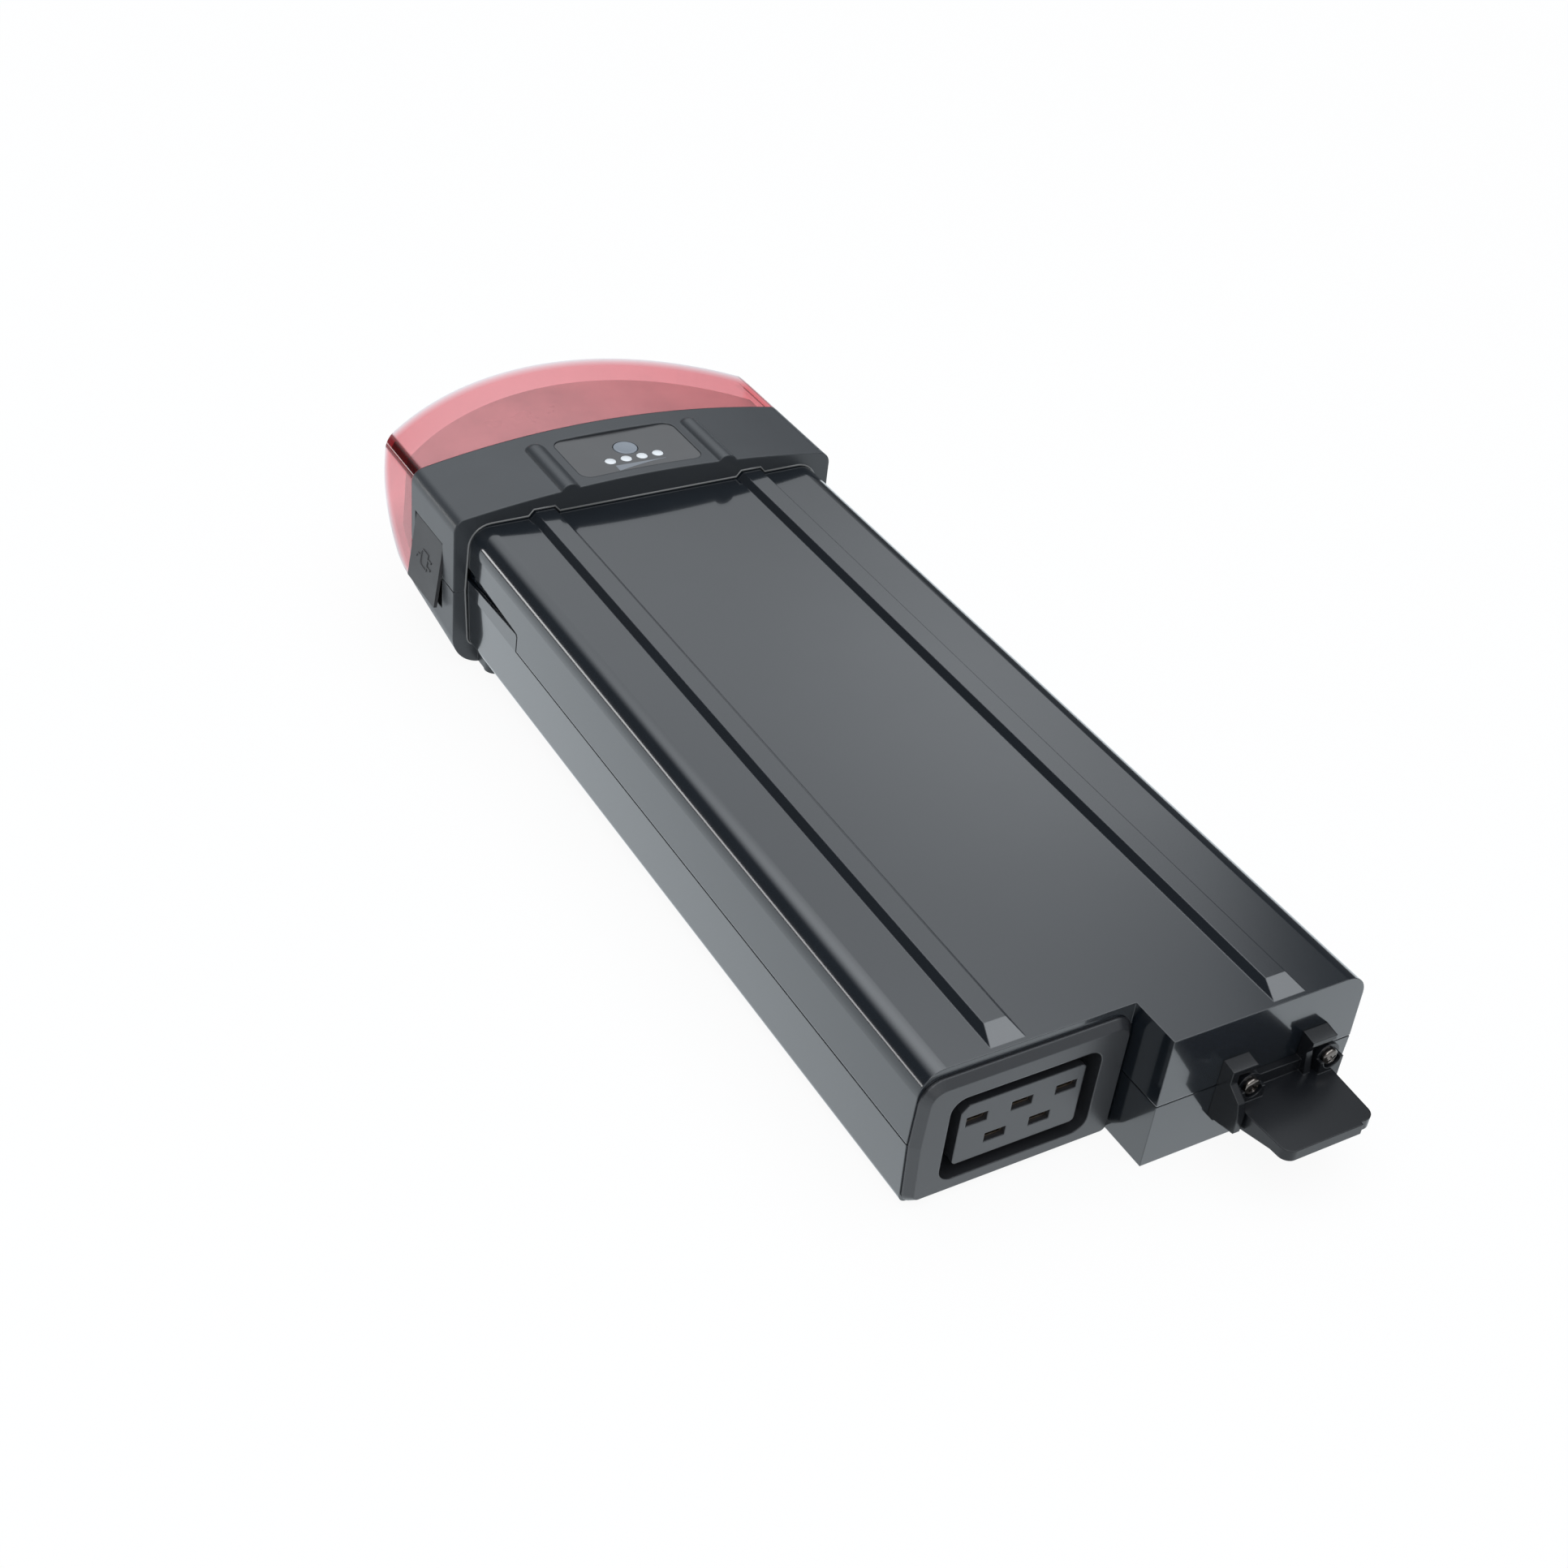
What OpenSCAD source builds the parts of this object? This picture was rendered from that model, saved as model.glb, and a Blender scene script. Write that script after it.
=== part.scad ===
// Rear-rack battery with a built-in tail light. Millimetres.
// The origin is the centre of the case's underside, X runs forward to the hook and Z is up.

/* [Case] */
// Length of the case from the rear cap to its front end
case_len = 310; // [280:1:380]
// Width of the case at the parting line
case_w = 142; // [140:1:175]
// Height of the case
case_h = 48; // [46:1:60]
// Height of the parting line between the shells
parting_h = 23; // [20:0.5:28]
// Thickness of the shells and the rear cap
wall = 2.5; // [1.8:0.1:3]
// How far each side leans in above and below the parting line
draft_in = 1; // [0:0.1:2]
// Radius along the upper edges
top_r = 8; // [4:0.5:11]
// Radius along the lower edges
low_r = 3; // [2.8:0.1:5]
// How far the connector side stops short of the front end
notch_len = 17; // [12:1:22]
// Length of the tab that laps over the parting line
tab_len = 42; // [20:1:60]
// Height of the tab over the parting line
tab_h = 6.6; // [4:0.2:10]

/* [Guide ribs] */
// Distance between the centres of the two ribs
rib_spread = 83.6; // [60:0.2:95]
// Width of a rib where it meets the case
rib_base_w = 11.4; // [8:0.2:14]
// Width of the flat top of a rib
rib_top_w = 7.2; // [4:0.2:8]
// Height of a rib
rib_h = 2.25; // [1:0.05:4]
// Length of the slope at the front end of a rib
rib_slope = 7; // [3:0.5:12]

/* [Rear cap] */
// How far the rear cap stands out beyond each side of the case
cap_proud = 5; // [4:0.1:8]
// Length of the cap along its sides
cap_len = 38.5; // [36:0.5:46]
// Height of the crown over the case
crown_rise = 9.2; // [8:0.1:12]
// Depth of the cap's lower edge under the case
keel_drop = 8.5; // [6:0.5:12]
// Fall of the crowned top from its middle to its sides
crown_fall = 6; // [4:0.1:7]
// Radius along the upper edges of the cap
cap_edge_r = 5; // [3:0.5:8]
// Radius along the lower edges of the cap
keel_r = 12; // [8:0.5:16]
// Angle at which the underside rises to the rear, in degrees
keel_angle = 7.4; // [4:0.2:10]
// Height of the two round ridges beside the label
ridge_h = 2; // [1:0.1:3]

/* [Tail light] */
// Length of the cap and lens together, along the underside
tail_len = 98; // [92:1:112]
// Radius of the bowed rear end, seen from above
bow_r = 119; // [110:1:150]
// Radius that sweeps the rear end into the underside
sweep_r = 40; // [30:1:44]
// Thickness of the lens
lens_t = 2.2; // [1.5:0.1:2.4]
// Number of lamps in the tail light
tail_lamps = 7; // [3:2:9]

/* [Display] */
// Width of the display label
label_w = 49; // [40:0.5:54]
// Length of the display label
label_len = 28.5; // [26:0.5:30]
// Depth of the label under the top of the crown
label_drop = 0.9; // [0.7:0.1:2]
// Diameter of the power button
button_d = 9; // [6:0.5:10]
// Travel of the power button
button_travel = 0.4; // [0.2:0.05:0.5]
// Diameter of a gauge light
gauge_d = 4.2; // [3:0.1:5]
// Distance between gauge lights
gauge_pitch = 6.4; // [5.5:0.1:8]
// Number of gauge lights
gauge_lights = 4; // [3:1:5]

/* [Charge port] */
// Width of the charge port flap
flap_w = 24.5; // [23.5:0.5:26]
// Height of the charge port flap
flap_h = 26.4; // [25:0.2:28]
// Thickness of the flap
flap_t = 1.3; // [1:0.1:1.8]
// Angle at which the flap stands open, in degrees
flap_ajar = 8; // [0:1:30]
// Depth of the pocket behind the flap
pocket_depth = 10; // [7:0.5:12]
// Outer diameter of the charge socket
socket_d = 21; // [19:0.5:22]
// Bore of the charge socket
socket_bore = 16; // [12:0.5:17]

/* [Connector] */
// Thickness of the bezel in front of the case
bezel_t = 3; // [2:0.1:4]
// Width of the recess in the bezel
recess_w = 50; // [46:0.5:56]
// Height of the recess in the bezel
recess_h = 31; // [29:0.5:33]
// Depth of the recess
recess_depth = 12; // [8:0.5:14]
// Gap around the connector block, for the shroud of the plug
shroud_gap = 4.5; // [4.2:0.1:5]
// Width of a contact slot
slot_w = 7; // [5:0.2:8]
// Height of a contact slot
slot_h = 3.4; // [2.6:0.1:4]
// Distance between slots in a row
slot_pitch = 14.85; // [12:0.05:15]
// Distance between the two rows of slots
slot_rows = 8.9; // [8:0.1:10]

/* [Hook bracket] */
// Distance from the middle of the case to the middle of the tongue
hook_y = 42; // [38:0.5:46]
// Width of the tongue at its root
tongue_w = 36; // [30:0.5:40]
// How far the tongue reaches in front of the case
tongue_reach = 27.3; // [20:0.5:34]
// Thickness of the tongue
tongue_t = 3.7; // [3:0.1:5]
// Distance between the two bracket screws
hook_screws = 29; // [24:0.5:32]
// Width of the hood over each bracket screw
hood_w = 9; // [6:0.5:10]

/* [Cells] */
// Diameter of a cell
cell_d = 18.4; // [18:0.1:18.6]
// Length of a cell
cell_len = 65; // [60:0.5:65]
// Distance between cells
cell_pitch = 20.2; // [20:0.1:20.3]

/* [Hidden] */
$fn = 96;
// Finer steps for the very large radii, coarser ones for the children of a hull
large_fn = 360;
hull_fn = 32;
// Overrun of every cut
over = 1;
// Gap between pieces that pass each other, and gap of a close fit
clear = 0.3;
fit = 0.1;
// Gap between a screw and the thread that holds it
thread_fit = 0.02;
// Wires are a little thicker at a bend, and the pole of the bend's sphere is turned aside
bend_share = 1.03;
bend_turn = [45, 35, 0];

// Case
half_w = case_w / 2;
front_x = case_len / 2;
rear_x = -front_x;
panel_x = front_x - notch_len;
// The rear end of the case is held inside the cap
tuck = 8;
tuck_x = rear_x - tuck;
roof_z = case_h - wall;
case_outline = [[-half_w + draft_in, 0], [half_w - draft_in, 0], [half_w, parting_h],
    [half_w - draft_in, case_h], [-half_w + draft_in, case_h], [-half_w, parting_h]];
case_radii = [low_r, low_r, 0, top_r, top_r, 0];
rib_inset = 1.5;
// Groove along the parting line, and the tab that crosses it
groove = 0.5;
tab_t = 1.1;
tab_gap = 0.6;
tab_root = 2;
tab_fall = 2.3;
tab_gap_rise = 2.6;
tab_chamfer = 0.8;
tab_x = [rear_x - wall, rear_x + tab_len];
// Seal cord in the rim of the lower shell
seal_w = 0.9;
seal_h = 1.4;
seal_in = (wall - seal_w) / 2;

// Screws
screw_r = 1.5;
screw_hole_r = 1.7;
pilot_r = screw_r + thread_fit;
head_r = 2.8;
head_h = 1.8;
head_hole_r = head_r + fit;
boss_r = 3.6;
head_seat = 4;
case_screw_len = 27;
boss_sink = 0.8;
boss_y = half_w - draft_in - wall - boss_r + boss_sink;
tuck_boss_y = 44;
panel_boss_setback = 20;
screws_aside = 1.9;
hook_mid = hook_y + screws_aside;
case_bosses = [[front_x - wall - boss_r + boss_sink, hook_mid], [panel_x - panel_boss_setback, -boss_y],
    [rear_x - tuck / 2, tuck_boss_y], [rear_x - tuck / 2, -tuck_boss_y]];

// Rear cap and tail light share one form
crown_z = case_h + crown_rise;
cap_half = half_w + cap_proud;
crown_r = (pow(cap_half, 2) + pow(crown_fall, 2)) / (2 * crown_fall);
form_low = -case_h;
form_high = 2 * case_h;
form_len = tail_len + 2 * keel_r;
least_r = 0.6;
// The edge arcs stand this little above the crown, so that the two cross
crossing = 0.02;
bow_back = bow_r - tail_len;
flange_t = 3;
cap_in_x = rear_x - flange_t;
// The seam between cap and lens is bowed a little
seam_r = 1000;
seam_mid = rear_x - cap_len - seam_r + sqrt(pow(seam_r, 2) - pow(cap_half, 2));
seam_gap = 0.15;
ridge_w = 7.4;
ridge_y = 31.5;
ridge_len = 30;
ridge_r = (pow(ridge_w / 2, 2) + pow(ridge_h, 2)) / (2 * ridge_h);
// Lugs under the case carry the screws that hold the cap on
lug_r = 4.1;
lug_reach = 6;
lug_x = rear_x + lug_reach;
lug_inset = 9;
lug_y = half_w - lug_inset;
lug_boss_h = 14;
lug_screw_len = 13;
cap_boss_back = 28;
cap_boss_y = 34;
cap_boss = [rear_x - cap_boss_back, cap_boss_y];
cap_screw_head_z = 2;
cap_screw_len = 30;

// Lens, housing and lamps
rim_t = 1.4;
rim_in = wall + fit + rim_t;
rim_back = 2;
rim_front = 4;
housing_in = rim_in + clear;
housing_t = 2;
housing_short = 11;
housing_lap = 1;
housing_x = rear_x - cap_len + housing_lap;
front_box = 12;
web_x = housing_x - front_box;
board_t = 1.6;
tail_board_x = web_x - housing_t;
tail_board_y = 46;
tail_board_z = [14, 44];
lamp_size = 3.6;
lamp_t = 1.5;
lamp_z = 29;
lamp_pitch = 12.5;
reflector_x = tail_board_x - board_t - clear;
reflector_len = 11;
cup_r = 5.2;

// Display
label_z = crown_z - label_drop;
film_t = 0.5;
label_r = 4.5;
label_front = 4.5;
label_x = [rear_x - label_front - label_len, rear_x - label_front];
pad_t = 2.5;
pad_edge = 1.5;
pad_z = label_z - film_t - pad_t;
button_back = 20.8;
button_x = rear_x - button_back;
gauge_back = 13.5;
gauge_x = rear_x - gauge_back;
button_proud = 0.2;
button_t = 0.8;
button_well = 0.8;
stem_r = 1.8;
// Gauge board under the pad
gauge_board_up = 0.7;
gauge_board_z = case_h + gauge_board_up;
gauge_board_back = [34, 6];
gauge_board_x = [for (back = gauge_board_back) rear_x - back];
gauge_board_y = 22;
gauge_top = gauge_board_z + board_t;
gauge_boss_back = 30;
gauge_boss_y = 18;
gauge_boss = [rear_x - gauge_boss_back, gauge_boss_y];
gauge_boss_r = 2.2;
small_screw_r = 1;
small_head_r = 1.8;
small_head_h = 1.1;
pipe_gap = 0.2;
gauge_lamp_h = 0.8;
gauge_lamp_size = [2, 1.25];
switch_size = 6;
switch_h = 1.4;
plunger_r = 1.5;
plunger_well = 1.1;

// Charge port
flap_back = 22.5;
flap_x = rear_x - flap_back;
flap_under = 10.6;
flap_top = case_h - flap_under;
flap_low = flap_top - flap_h;
hinge_r = flap_t / 2;
hinge_y = -cap_half + hinge_r + clear;
hinge_z = flap_top - hinge_r - 2 * clear;
hinge_pin_r = 0.5;
hinge_pin_len = 1.2;
pocket_y = -cap_half + pocket_depth;
port_t = 1.5;
socket_z = (flap_top + flap_low) / 2;
socket_lip = 5;
socket_front = pocket_y - socket_lip;
socket_rim = 1.5;
socket_body_r = socket_d / 2 - socket_rim;
socket_reach = 16;
socket_back = pocket_y + socket_reach;
nut_t = 2;
socket_pin_r = 1.1;
socket_pin_ring = 4.4;
face_out = 1;
socket_face = pocket_y - face_out;
pin_angles = [90, 210, 330];

// Connector
conn_y = -half_w / 2;
conn_under = 1.1;
conn_z = parting_h - conn_under;
// The bezel covers the whole end of the case, to just inside its outline
bezel_margin = 0.4;
bezel_side = -half_w + draft_in + bezel_margin;
bezel_under = 3.1;
bezel_top = case_h - bezel_under;
bezel_points = [[bezel_side, bezel_margin], [-bezel_margin, bezel_margin], [-bezel_margin, bezel_top],
    [bezel_side, bezel_top], [-half_w + bezel_margin, parting_h]];
bezel_radii = [4, 4, 6, 7, 0];
bezel_base = 0.8;
bezel_bevel = 2.2;
recess_r = 5;
recess_x = panel_x + bezel_t - recess_depth;
tub_t = 1.5;
block_w = recess_w - 2 * shroud_gap;
block_h = recess_h - 2 * shroud_gap;
block_reach = 9;
block_in = 0.8;
block_x = [recess_x - block_reach, panel_x + bezel_t - block_in];
block_r = 1.5;
block_key = 2.4;
block_flange = 2;
slot_depth = 14;
contact_leaf = 0.6;
contact_set_back = 1.5;
tail_w = 3;
tail_t = 0.8;
contact_tail = 4;
tail_end = block_x[0] - contact_tail;
gasket_w = 1.5;
gasket_t = 1;
gasket_gap = 1;
gasket_out = tub_t + gasket_gap;

// Hook bracket
tongue_under = 3;
tongue_z = parting_h - tongue_under;
tongue_taper = 1.6;
tongue_r = 3.5;
// The tip steps back at its outer corner
tip_short = 7;
tip_step = 1;
plate_t = 2.5;
plate_under = 11.5;
plate_low = parting_h - plate_under;
cheek_len = 10.5;
cheek_lean = 1;
wedge_len = 21;
cheek_waist = 3.4;
cheek_rise = 5.5;
hook_screw_up = 1.2;
hook_screw_z = parting_h + hook_screw_up;
hood_up = 10;
hood_z = parting_h + hood_up;
hood_len = 4.8;
hood_fall = 0.8;
hood_t = 1.8;
cup_len = 6.4;
cup_back = 4.4;
cup_out_r = 4.2;
hood_past = 0.8;
hood_side = hood_w - hood_past;
hood_wall = 2.5;
gusset_t = 3;
bracket_screw_ys = [for (s = [-1, 1]) hook_mid + s * hook_screws / 2];
insert_r = 2.3;
insert_len = 6.5;
insert_boss_r = 3.9;
insert_boss_len = 9;

// Cells and their holders
row_gap = 2.4;
pack_back = 14;
pack_front = 31;
pack_x = rear_x + pack_back;
columns = floor((case_len - pack_back - pack_front) / cell_pitch);
layer_z = [case_h / 2 - cell_pitch / 2, case_h / 2 + cell_pitch / 2];
holder_t = 8;
holder_edge = 1;
foam_t = 1.3;
holder_z = [wall + foam_t, roof_z - foam_t];
cell_fit = 0.05;
button_r = 3.3;
button_up = 0.9;
crimp_at = 3.4;
crimp_w = 1.4;
crimp_in = 0.5;
strip_t = 0.2;
strip_w = 8;
strip_break_shares = [0.4, 0.8];
sheet_t = 0.5;
sheet_edge = 4;
foam_y = [4, 62];
row_end_y = row_gap / 2 + cell_len;
function row_columns(side) = side < 0 ? columns - 1 : columns;
function row_end_x(side) = pack_x + row_columns(side) * cell_pitch;
function column_x(i) = pack_x + (i + 0.5) * cell_pitch;

// Battery board and what is wired to it
board_gap = 3.6;
board_x = row_end_x(1) + board_gap;
board_y = [6, 64];
board_face = board_x + board_t;
post_w = 4;
post_reach = 2;
mosfet = [4.5, 10, 9];
mosfets = 4;
mosfet_pitch = 11.5;
mosfet_y = 26;
mosfet_z = 28;
sink_base = 3;
sink_fin = 4;
sink_fins = 6;
sink_fin_t = 1.2;
capacitors = 3;
capacitor_r = 4;
capacitor_len = 11;
capacitor_z = 14;
fuse_size = [12, 22, 11];
fuse_top = [5, 9, 4];
power_r = 1.6;
thin_r = 0.75;
// The plus lead turns down onto the fuse
turn_x = tail_end - 2 * power_r;
fuse_lead_share = 0.7;
fuse_x = turn_x - fuse_lead_share * fuse_size.x;
fuse_aside = 12;
fuse_y = conn_y - fuse_aside;
lane_z = case_h / 2;
charge_lane_ys = [-30, -34];
lamp_lane_y = 34;
lamp_exit_y = 20;
lamp_exit_z = 30;
lamp_turn_back = 20;
lamp_turn_x = rear_x - lamp_turn_back;

// Outlines
function unit(v) = v / norm(v);
function at(points, i) = points[(i + len(points)) % len(points)];
function half_angle(a, b, c) = acos(unit(a - b) * unit(c - b)) / 2;
function inner_corner(a, b, c, d) =
    b + unit(unit(a - b) + unit(c - b)) * d / sin(half_angle(a, b, c));
function inset(points, d) = [for (i = [0 : len(points) - 1])
    inner_corner(at(points, i - 1), points[i], at(points, i + 1), d)];
function tangent_point(b, end, angle, r) = b + unit(end - b) * r / tan(angle);
function cut_corner(a, b, c, r) = r <= 0 ? [b]
    : [for (end = [a, c]) tangent_point(b, end, half_angle(a, b, c), r)];

// A convex outline with a true arc at each corner that has a radius
module rounded_outline(points, radii) {
    count = len(points);
    polygon([for (i = [0 : count - 1])
        each cut_corner(at(points, i - 1), points[i], at(points, i + 1), radii[i])]);
    for (i = [0 : count - 1])
        if (radii[i] > 0)
            translate(inner_corner(at(points, i - 1), points[i], at(points, i + 1), radii[i]))
                circle(radii[i]);
}

module rounded_rectangle(size, r) {
    w = size.x / 2;
    h = size.y / 2;
    rounded_outline([[-w, -h], [w, -h], [w, h], [-w, h]], [r, r, r, r]);
}

// Extrusions along each axis, between two places
module along_x(x) translate([x[0], 0, 0]) rotate([90, 0, 90]) linear_extrude(x[1] - x[0]) children();
module along_y(y) translate([0, y[1], 0]) rotate([90, 0, 0]) linear_extrude(y[1] - y[0]) children();
module along_z(z) translate([0, 0, z[0]]) linear_extrude(z[1] - z[0]) children();
module rod_x(place, r, x) along_x(x) translate(place) circle(r);
module rod_y(place, r, y) along_y(y) translate(place) circle(r);
module rod_z(place, r, z) along_z(z) translate(place) circle(r);
module block(x, y, z)
    translate([x[0], y[0], z[0]]) cube([x[1] - x[0], y[1] - y[0], z[1] - z[0]]);
// A range that lies on either side of a place
function around(place, size) = [place - size / 2, place + size / 2];

// Round wire through a list of points, a little thicker at each bend
module wire(points, r) {
    for (i = [1 : len(points) - 1]) {
        step = points[i] - points[i - 1];
        translate(points[i - 1])
            rotate([0, acos(step.z / norm(step)), atan2(step.y, step.x)])
                cylinder(h = norm(step), r = r);
        if (i < len(points) - 1) translate(points[i]) rotate(bend_turn) sphere(r * bend_share);
    }
}

// The case, cut back by the notch beside the connector
module case_form(d, x) along_x(x)
    rounded_outline(inset(case_outline, d), [for (r = case_radii) max(r - d, 0)]);

module notch(d) block([panel_x - d, front_x + over], [-case_w, d], [-over, case_h + over]);

module case_walls() difference() {
    case_form(0, [tuck_x, front_x]);
    notch(0);
    difference() {
        case_form(wall, [tuck_x - over, front_x - wall]);
        notch(wall);
    }
}

module upper_space() block([tuck_x - over, front_x + over], [-case_w, case_w], [parting_h, 2 * case_h]);
module lower_space() block([tuck_x - over, front_x + over], [-case_w, case_w], [-case_h, parting_h]);

// A guide rib on the roof, sloped at its front end
module guide_rib(y, front, d) {
    base = rib_base_w / 2 + d;
    top = rib_top_w / 2 + d;
    low = case_h - wall / 2;
    high = case_h + rib_h + d;
    intersection() {
        along_x([tuck_x, front]) polygon([[y - base, low], [y + base, low], [y + base, case_h],
            [y + top, high], [y - top, high], [y - base, case_h]]);
        along_y([-case_w, case_w]) polygon([[tuck_x - over, low], [front, low], [front, case_h],
            [front - rib_slope, high], [tuck_x - over, high]]);
    }
}

module ribs(d, fronts) for (i = [0, 1])
    guide_rib([-1, 1][i] * rib_spread / 2, fronts[i] - rib_inset, d);

// The upper edge of the tab falls a little towards the cap, where its gap is wider
module tab(gap) intersection() {
    low = parting_h - tab_root * (gap > 0 ? 0 : 1);
    high = parting_h + tab_h + gap;
    difference() {
        case_form(0, [tuck_x, front_x]);
        case_form(tab_t + gap / 2, [tuck_x - over, front_x + over]);
    }
    along_y([-case_w, case_w]) polygon([[tab_x[0] - gap, low], [tab_x[1] + gap, low],
        [tab_x[1] + gap, high - tab_chamfer], [tab_x[1] + gap - tab_chamfer, high],
        [tab_x[0] - gap, gap > 0 ? high + tab_gap_rise : high - tab_fall]]);
}

module connector_opening(x) along_x(x) translate([conn_y, conn_z])
    rounded_rectangle([recess_w + 2 * (tub_t + fit), recess_h + 2 * (tub_t + fit)], recess_r + tub_t);

module upper_shell() color([0.06, 0.06, 0.065]) difference() {
    union() {
        intersection() {
            case_walls();
            upper_space();
        }
        ribs(0, [panel_x, front_x]);
        intersection() {
            case_form(wall / 2, [tuck_x, front_x]);
            for (place = case_bosses) rod_z(place, boss_r, [parting_h, case_h]);
        }
        for (y = bracket_screw_ys)
            rod_x([y, hook_screw_z], insert_boss_r, [front_x - insert_boss_len, front_x]);
    }
    for (place = case_bosses)
        rod_z(place, pilot_r, [parting_h - over, head_seat + case_screw_len + over]);
    for (y = bracket_screw_ys)
        rod_x([y, hook_screw_z], insert_r, [front_x - insert_len, front_x + over]);
    // Groove along the parting line
    difference() {
        case_form(-over, [tuck_x - over, front_x + over]);
        difference() {
            case_form(groove, [tuck_x - 2 * over, front_x - groove]);
            notch(groove);
        }
        block([tuck_x - 2 * over, front_x + 2 * over], [-case_w, case_w], [parting_h + groove, 2 * case_h]);
        block([tuck_x - 2 * over, front_x + 2 * over], [-case_w, case_w], [-case_h, parting_h - over]);
    }
    tab(tab_gap);
    connector_opening([panel_x - wall - over, panel_x + over]);
}

module lower_shell() color([0.06, 0.06, 0.065]) difference() {
    union() {
        intersection() {
            case_walls();
            lower_space();
        }
        tab(0);
        for (place = case_bosses) rod_z(place, boss_r, [wall / 2, parting_h]);
        for (side = [-1, 1]) rod_z([lug_x, side * lug_y], boss_r, [wall / 2, lug_boss_h]);
        // Posts that hold the battery board upright
        for (y = board_y)
            block([board_x - post_reach, board_face + post_reach], around(y, post_w), [wall / 2, parting_h]);
    }
    battery_board_form(clear);
    for (place = case_bosses) {
        rod_z(place, screw_hole_r, [-over, parting_h + over]);
        rod_z(place, head_hole_r, [-over, head_seat]);
    }
    for (side = [-1, 1]) rod_z([lug_x, side * lug_y], pilot_r, [-over, lug_boss_h - wall]);
    seal_form();
    insert_seats();
    connector_opening([panel_x - wall - over, panel_x + over]);
}

// The lower shell and the seal leave room for the insert bosses of the upper shell
module insert_seats() for (y = bracket_screw_ys)
    rod_x([y, hook_screw_z], insert_boss_r + clear, [front_x - insert_boss_len - clear, front_x + over]);

module seal_form() difference() {
    difference() {
        case_form(seal_in, [tuck_x + seal_in, front_x - seal_in]);
        notch(seal_in);
    }
    difference() {
        case_form(seal_in + seal_w, [tuck_x - over, front_x - seal_in - seal_w]);
        notch(seal_in + seal_w);
    }
    block([tuck_x - over, front_x + over], [-case_w, case_w], [parting_h, 2 * case_h]);
    block([tuck_x - over, front_x + over], [-case_w, case_w], [-case_h, parting_h - seal_h]);
    insert_seats();
    connector_opening([panel_x - wall - over, panel_x + over]);
}

module shell_seal() color([0.12, 0.12, 0.12]) seal_form();

module screw_up(place, r, length, seat, head, head_height) {
    rod_z(place, r, [seat, seat + length]);
    rod_z(place, head, [seat - head_height, seat]);
}

module case_screws() color([0.3, 0.3, 0.31]) for (place = case_bosses)
    screw_up(place, screw_r, case_screw_len, head_seat, head_r, head_h);

// The outer form of cap and lens together, cut back all round by d
module crown_outline(d) {
    half = cap_half - d;
    r = crown_r - d;
    edge = max(cap_edge_r - d, least_r);
    centre = crown_z - crown_r;
    edge_z = centre + sqrt(pow(r - edge + crossing, 2) - pow(half - edge, 2));
    touch = (half - edge) * r / (r - edge);
    intersection() {
        translate([0, centre]) circle(r, $fn = large_fn);
        translate([-touch, form_low]) square([2 * touch, form_high - form_low]);
    }
    for (side = [-1, 1]) translate([side * (half - edge), edge_z]) circle(edge);
    translate([-half, form_low]) square([2 * half, edge_z - form_low]);
}

module keel_outline(d) {
    half = cap_half - d;
    r = keel_r - d;
    rounded_outline([[-half, d], [half, d], [half, form_high], [-half, form_high]], [r, r, 0, 0]);
}

module sweep_outline(d) {
    translate([0, d]) square([bow_r - sweep_r, form_high]);
    translate([0, sweep_r]) square([bow_r - d, form_high - sweep_r]);
    translate([bow_r - sweep_r, sweep_r]) circle(sweep_r - d);
}

module on_keel() translate([rear_x, 0, -keel_drop]) rotate([0, keel_angle, 0]) children();

module tail_form(d) intersection() {
    along_x([rear_x - form_len, rear_x]) crown_outline(d);
    on_keel() along_x([-form_len, 2 * keel_r]) keel_outline(d);
    on_keel() translate([bow_back, 0, 0]) rotate_extrude() sweep_outline(d);
}

// Everything in front of the seam between cap and lens, moved back by d
module before_seam(d) rod_z([seam_mid + seam_r, 0], seam_r + d, [form_low, form_high], $fn = large_fn);

module flap_cut(y) block(around(flap_x, flap_w + 2 * clear), y, [flap_low - clear, flap_top]);

module cap_walls() difference() {
    union() {
        intersection() {
            tail_form(0);
            before_seam(0);
        }
        for (side = [-1, 1]) ridge(side);
    }
    intersection() {
        tail_form(wall);
        block([rear_x - form_len, cap_in_x], [-case_w, case_w], [form_low, form_high]);
    }
    case_form(-fit, [cap_in_x - over, rear_x + over]);
    ribs(fit, [front_x, front_x]);
    flap_cut([-case_w, -cap_half + wall + over]);
}

// Half-round ridge on the crown, rounded at its rear end
module ridge(side) {
    z = crown_z - crown_r + sqrt(pow(crown_r, 2) - pow(ridge_y, 2)) + ridge_h - ridge_r;
    rod_x([side * ridge_y, z], ridge_r, [rear_x - ridge_len, rear_x]);
    translate([rear_x - ridge_len, side * ridge_y, z]) rotate([0, 90, 0]) sphere(ridge_r);
}

module label_outline(d) translate([(label_x[0] + label_x[1]) / 2, 0])
    rounded_rectangle([label_len + 2 * d, label_w + 2 * d], label_r + d);

function gauge_ys() = [for (i = [0 : gauge_lights - 1]) (i - (gauge_lights - 1) / 2) * gauge_pitch];

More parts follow.
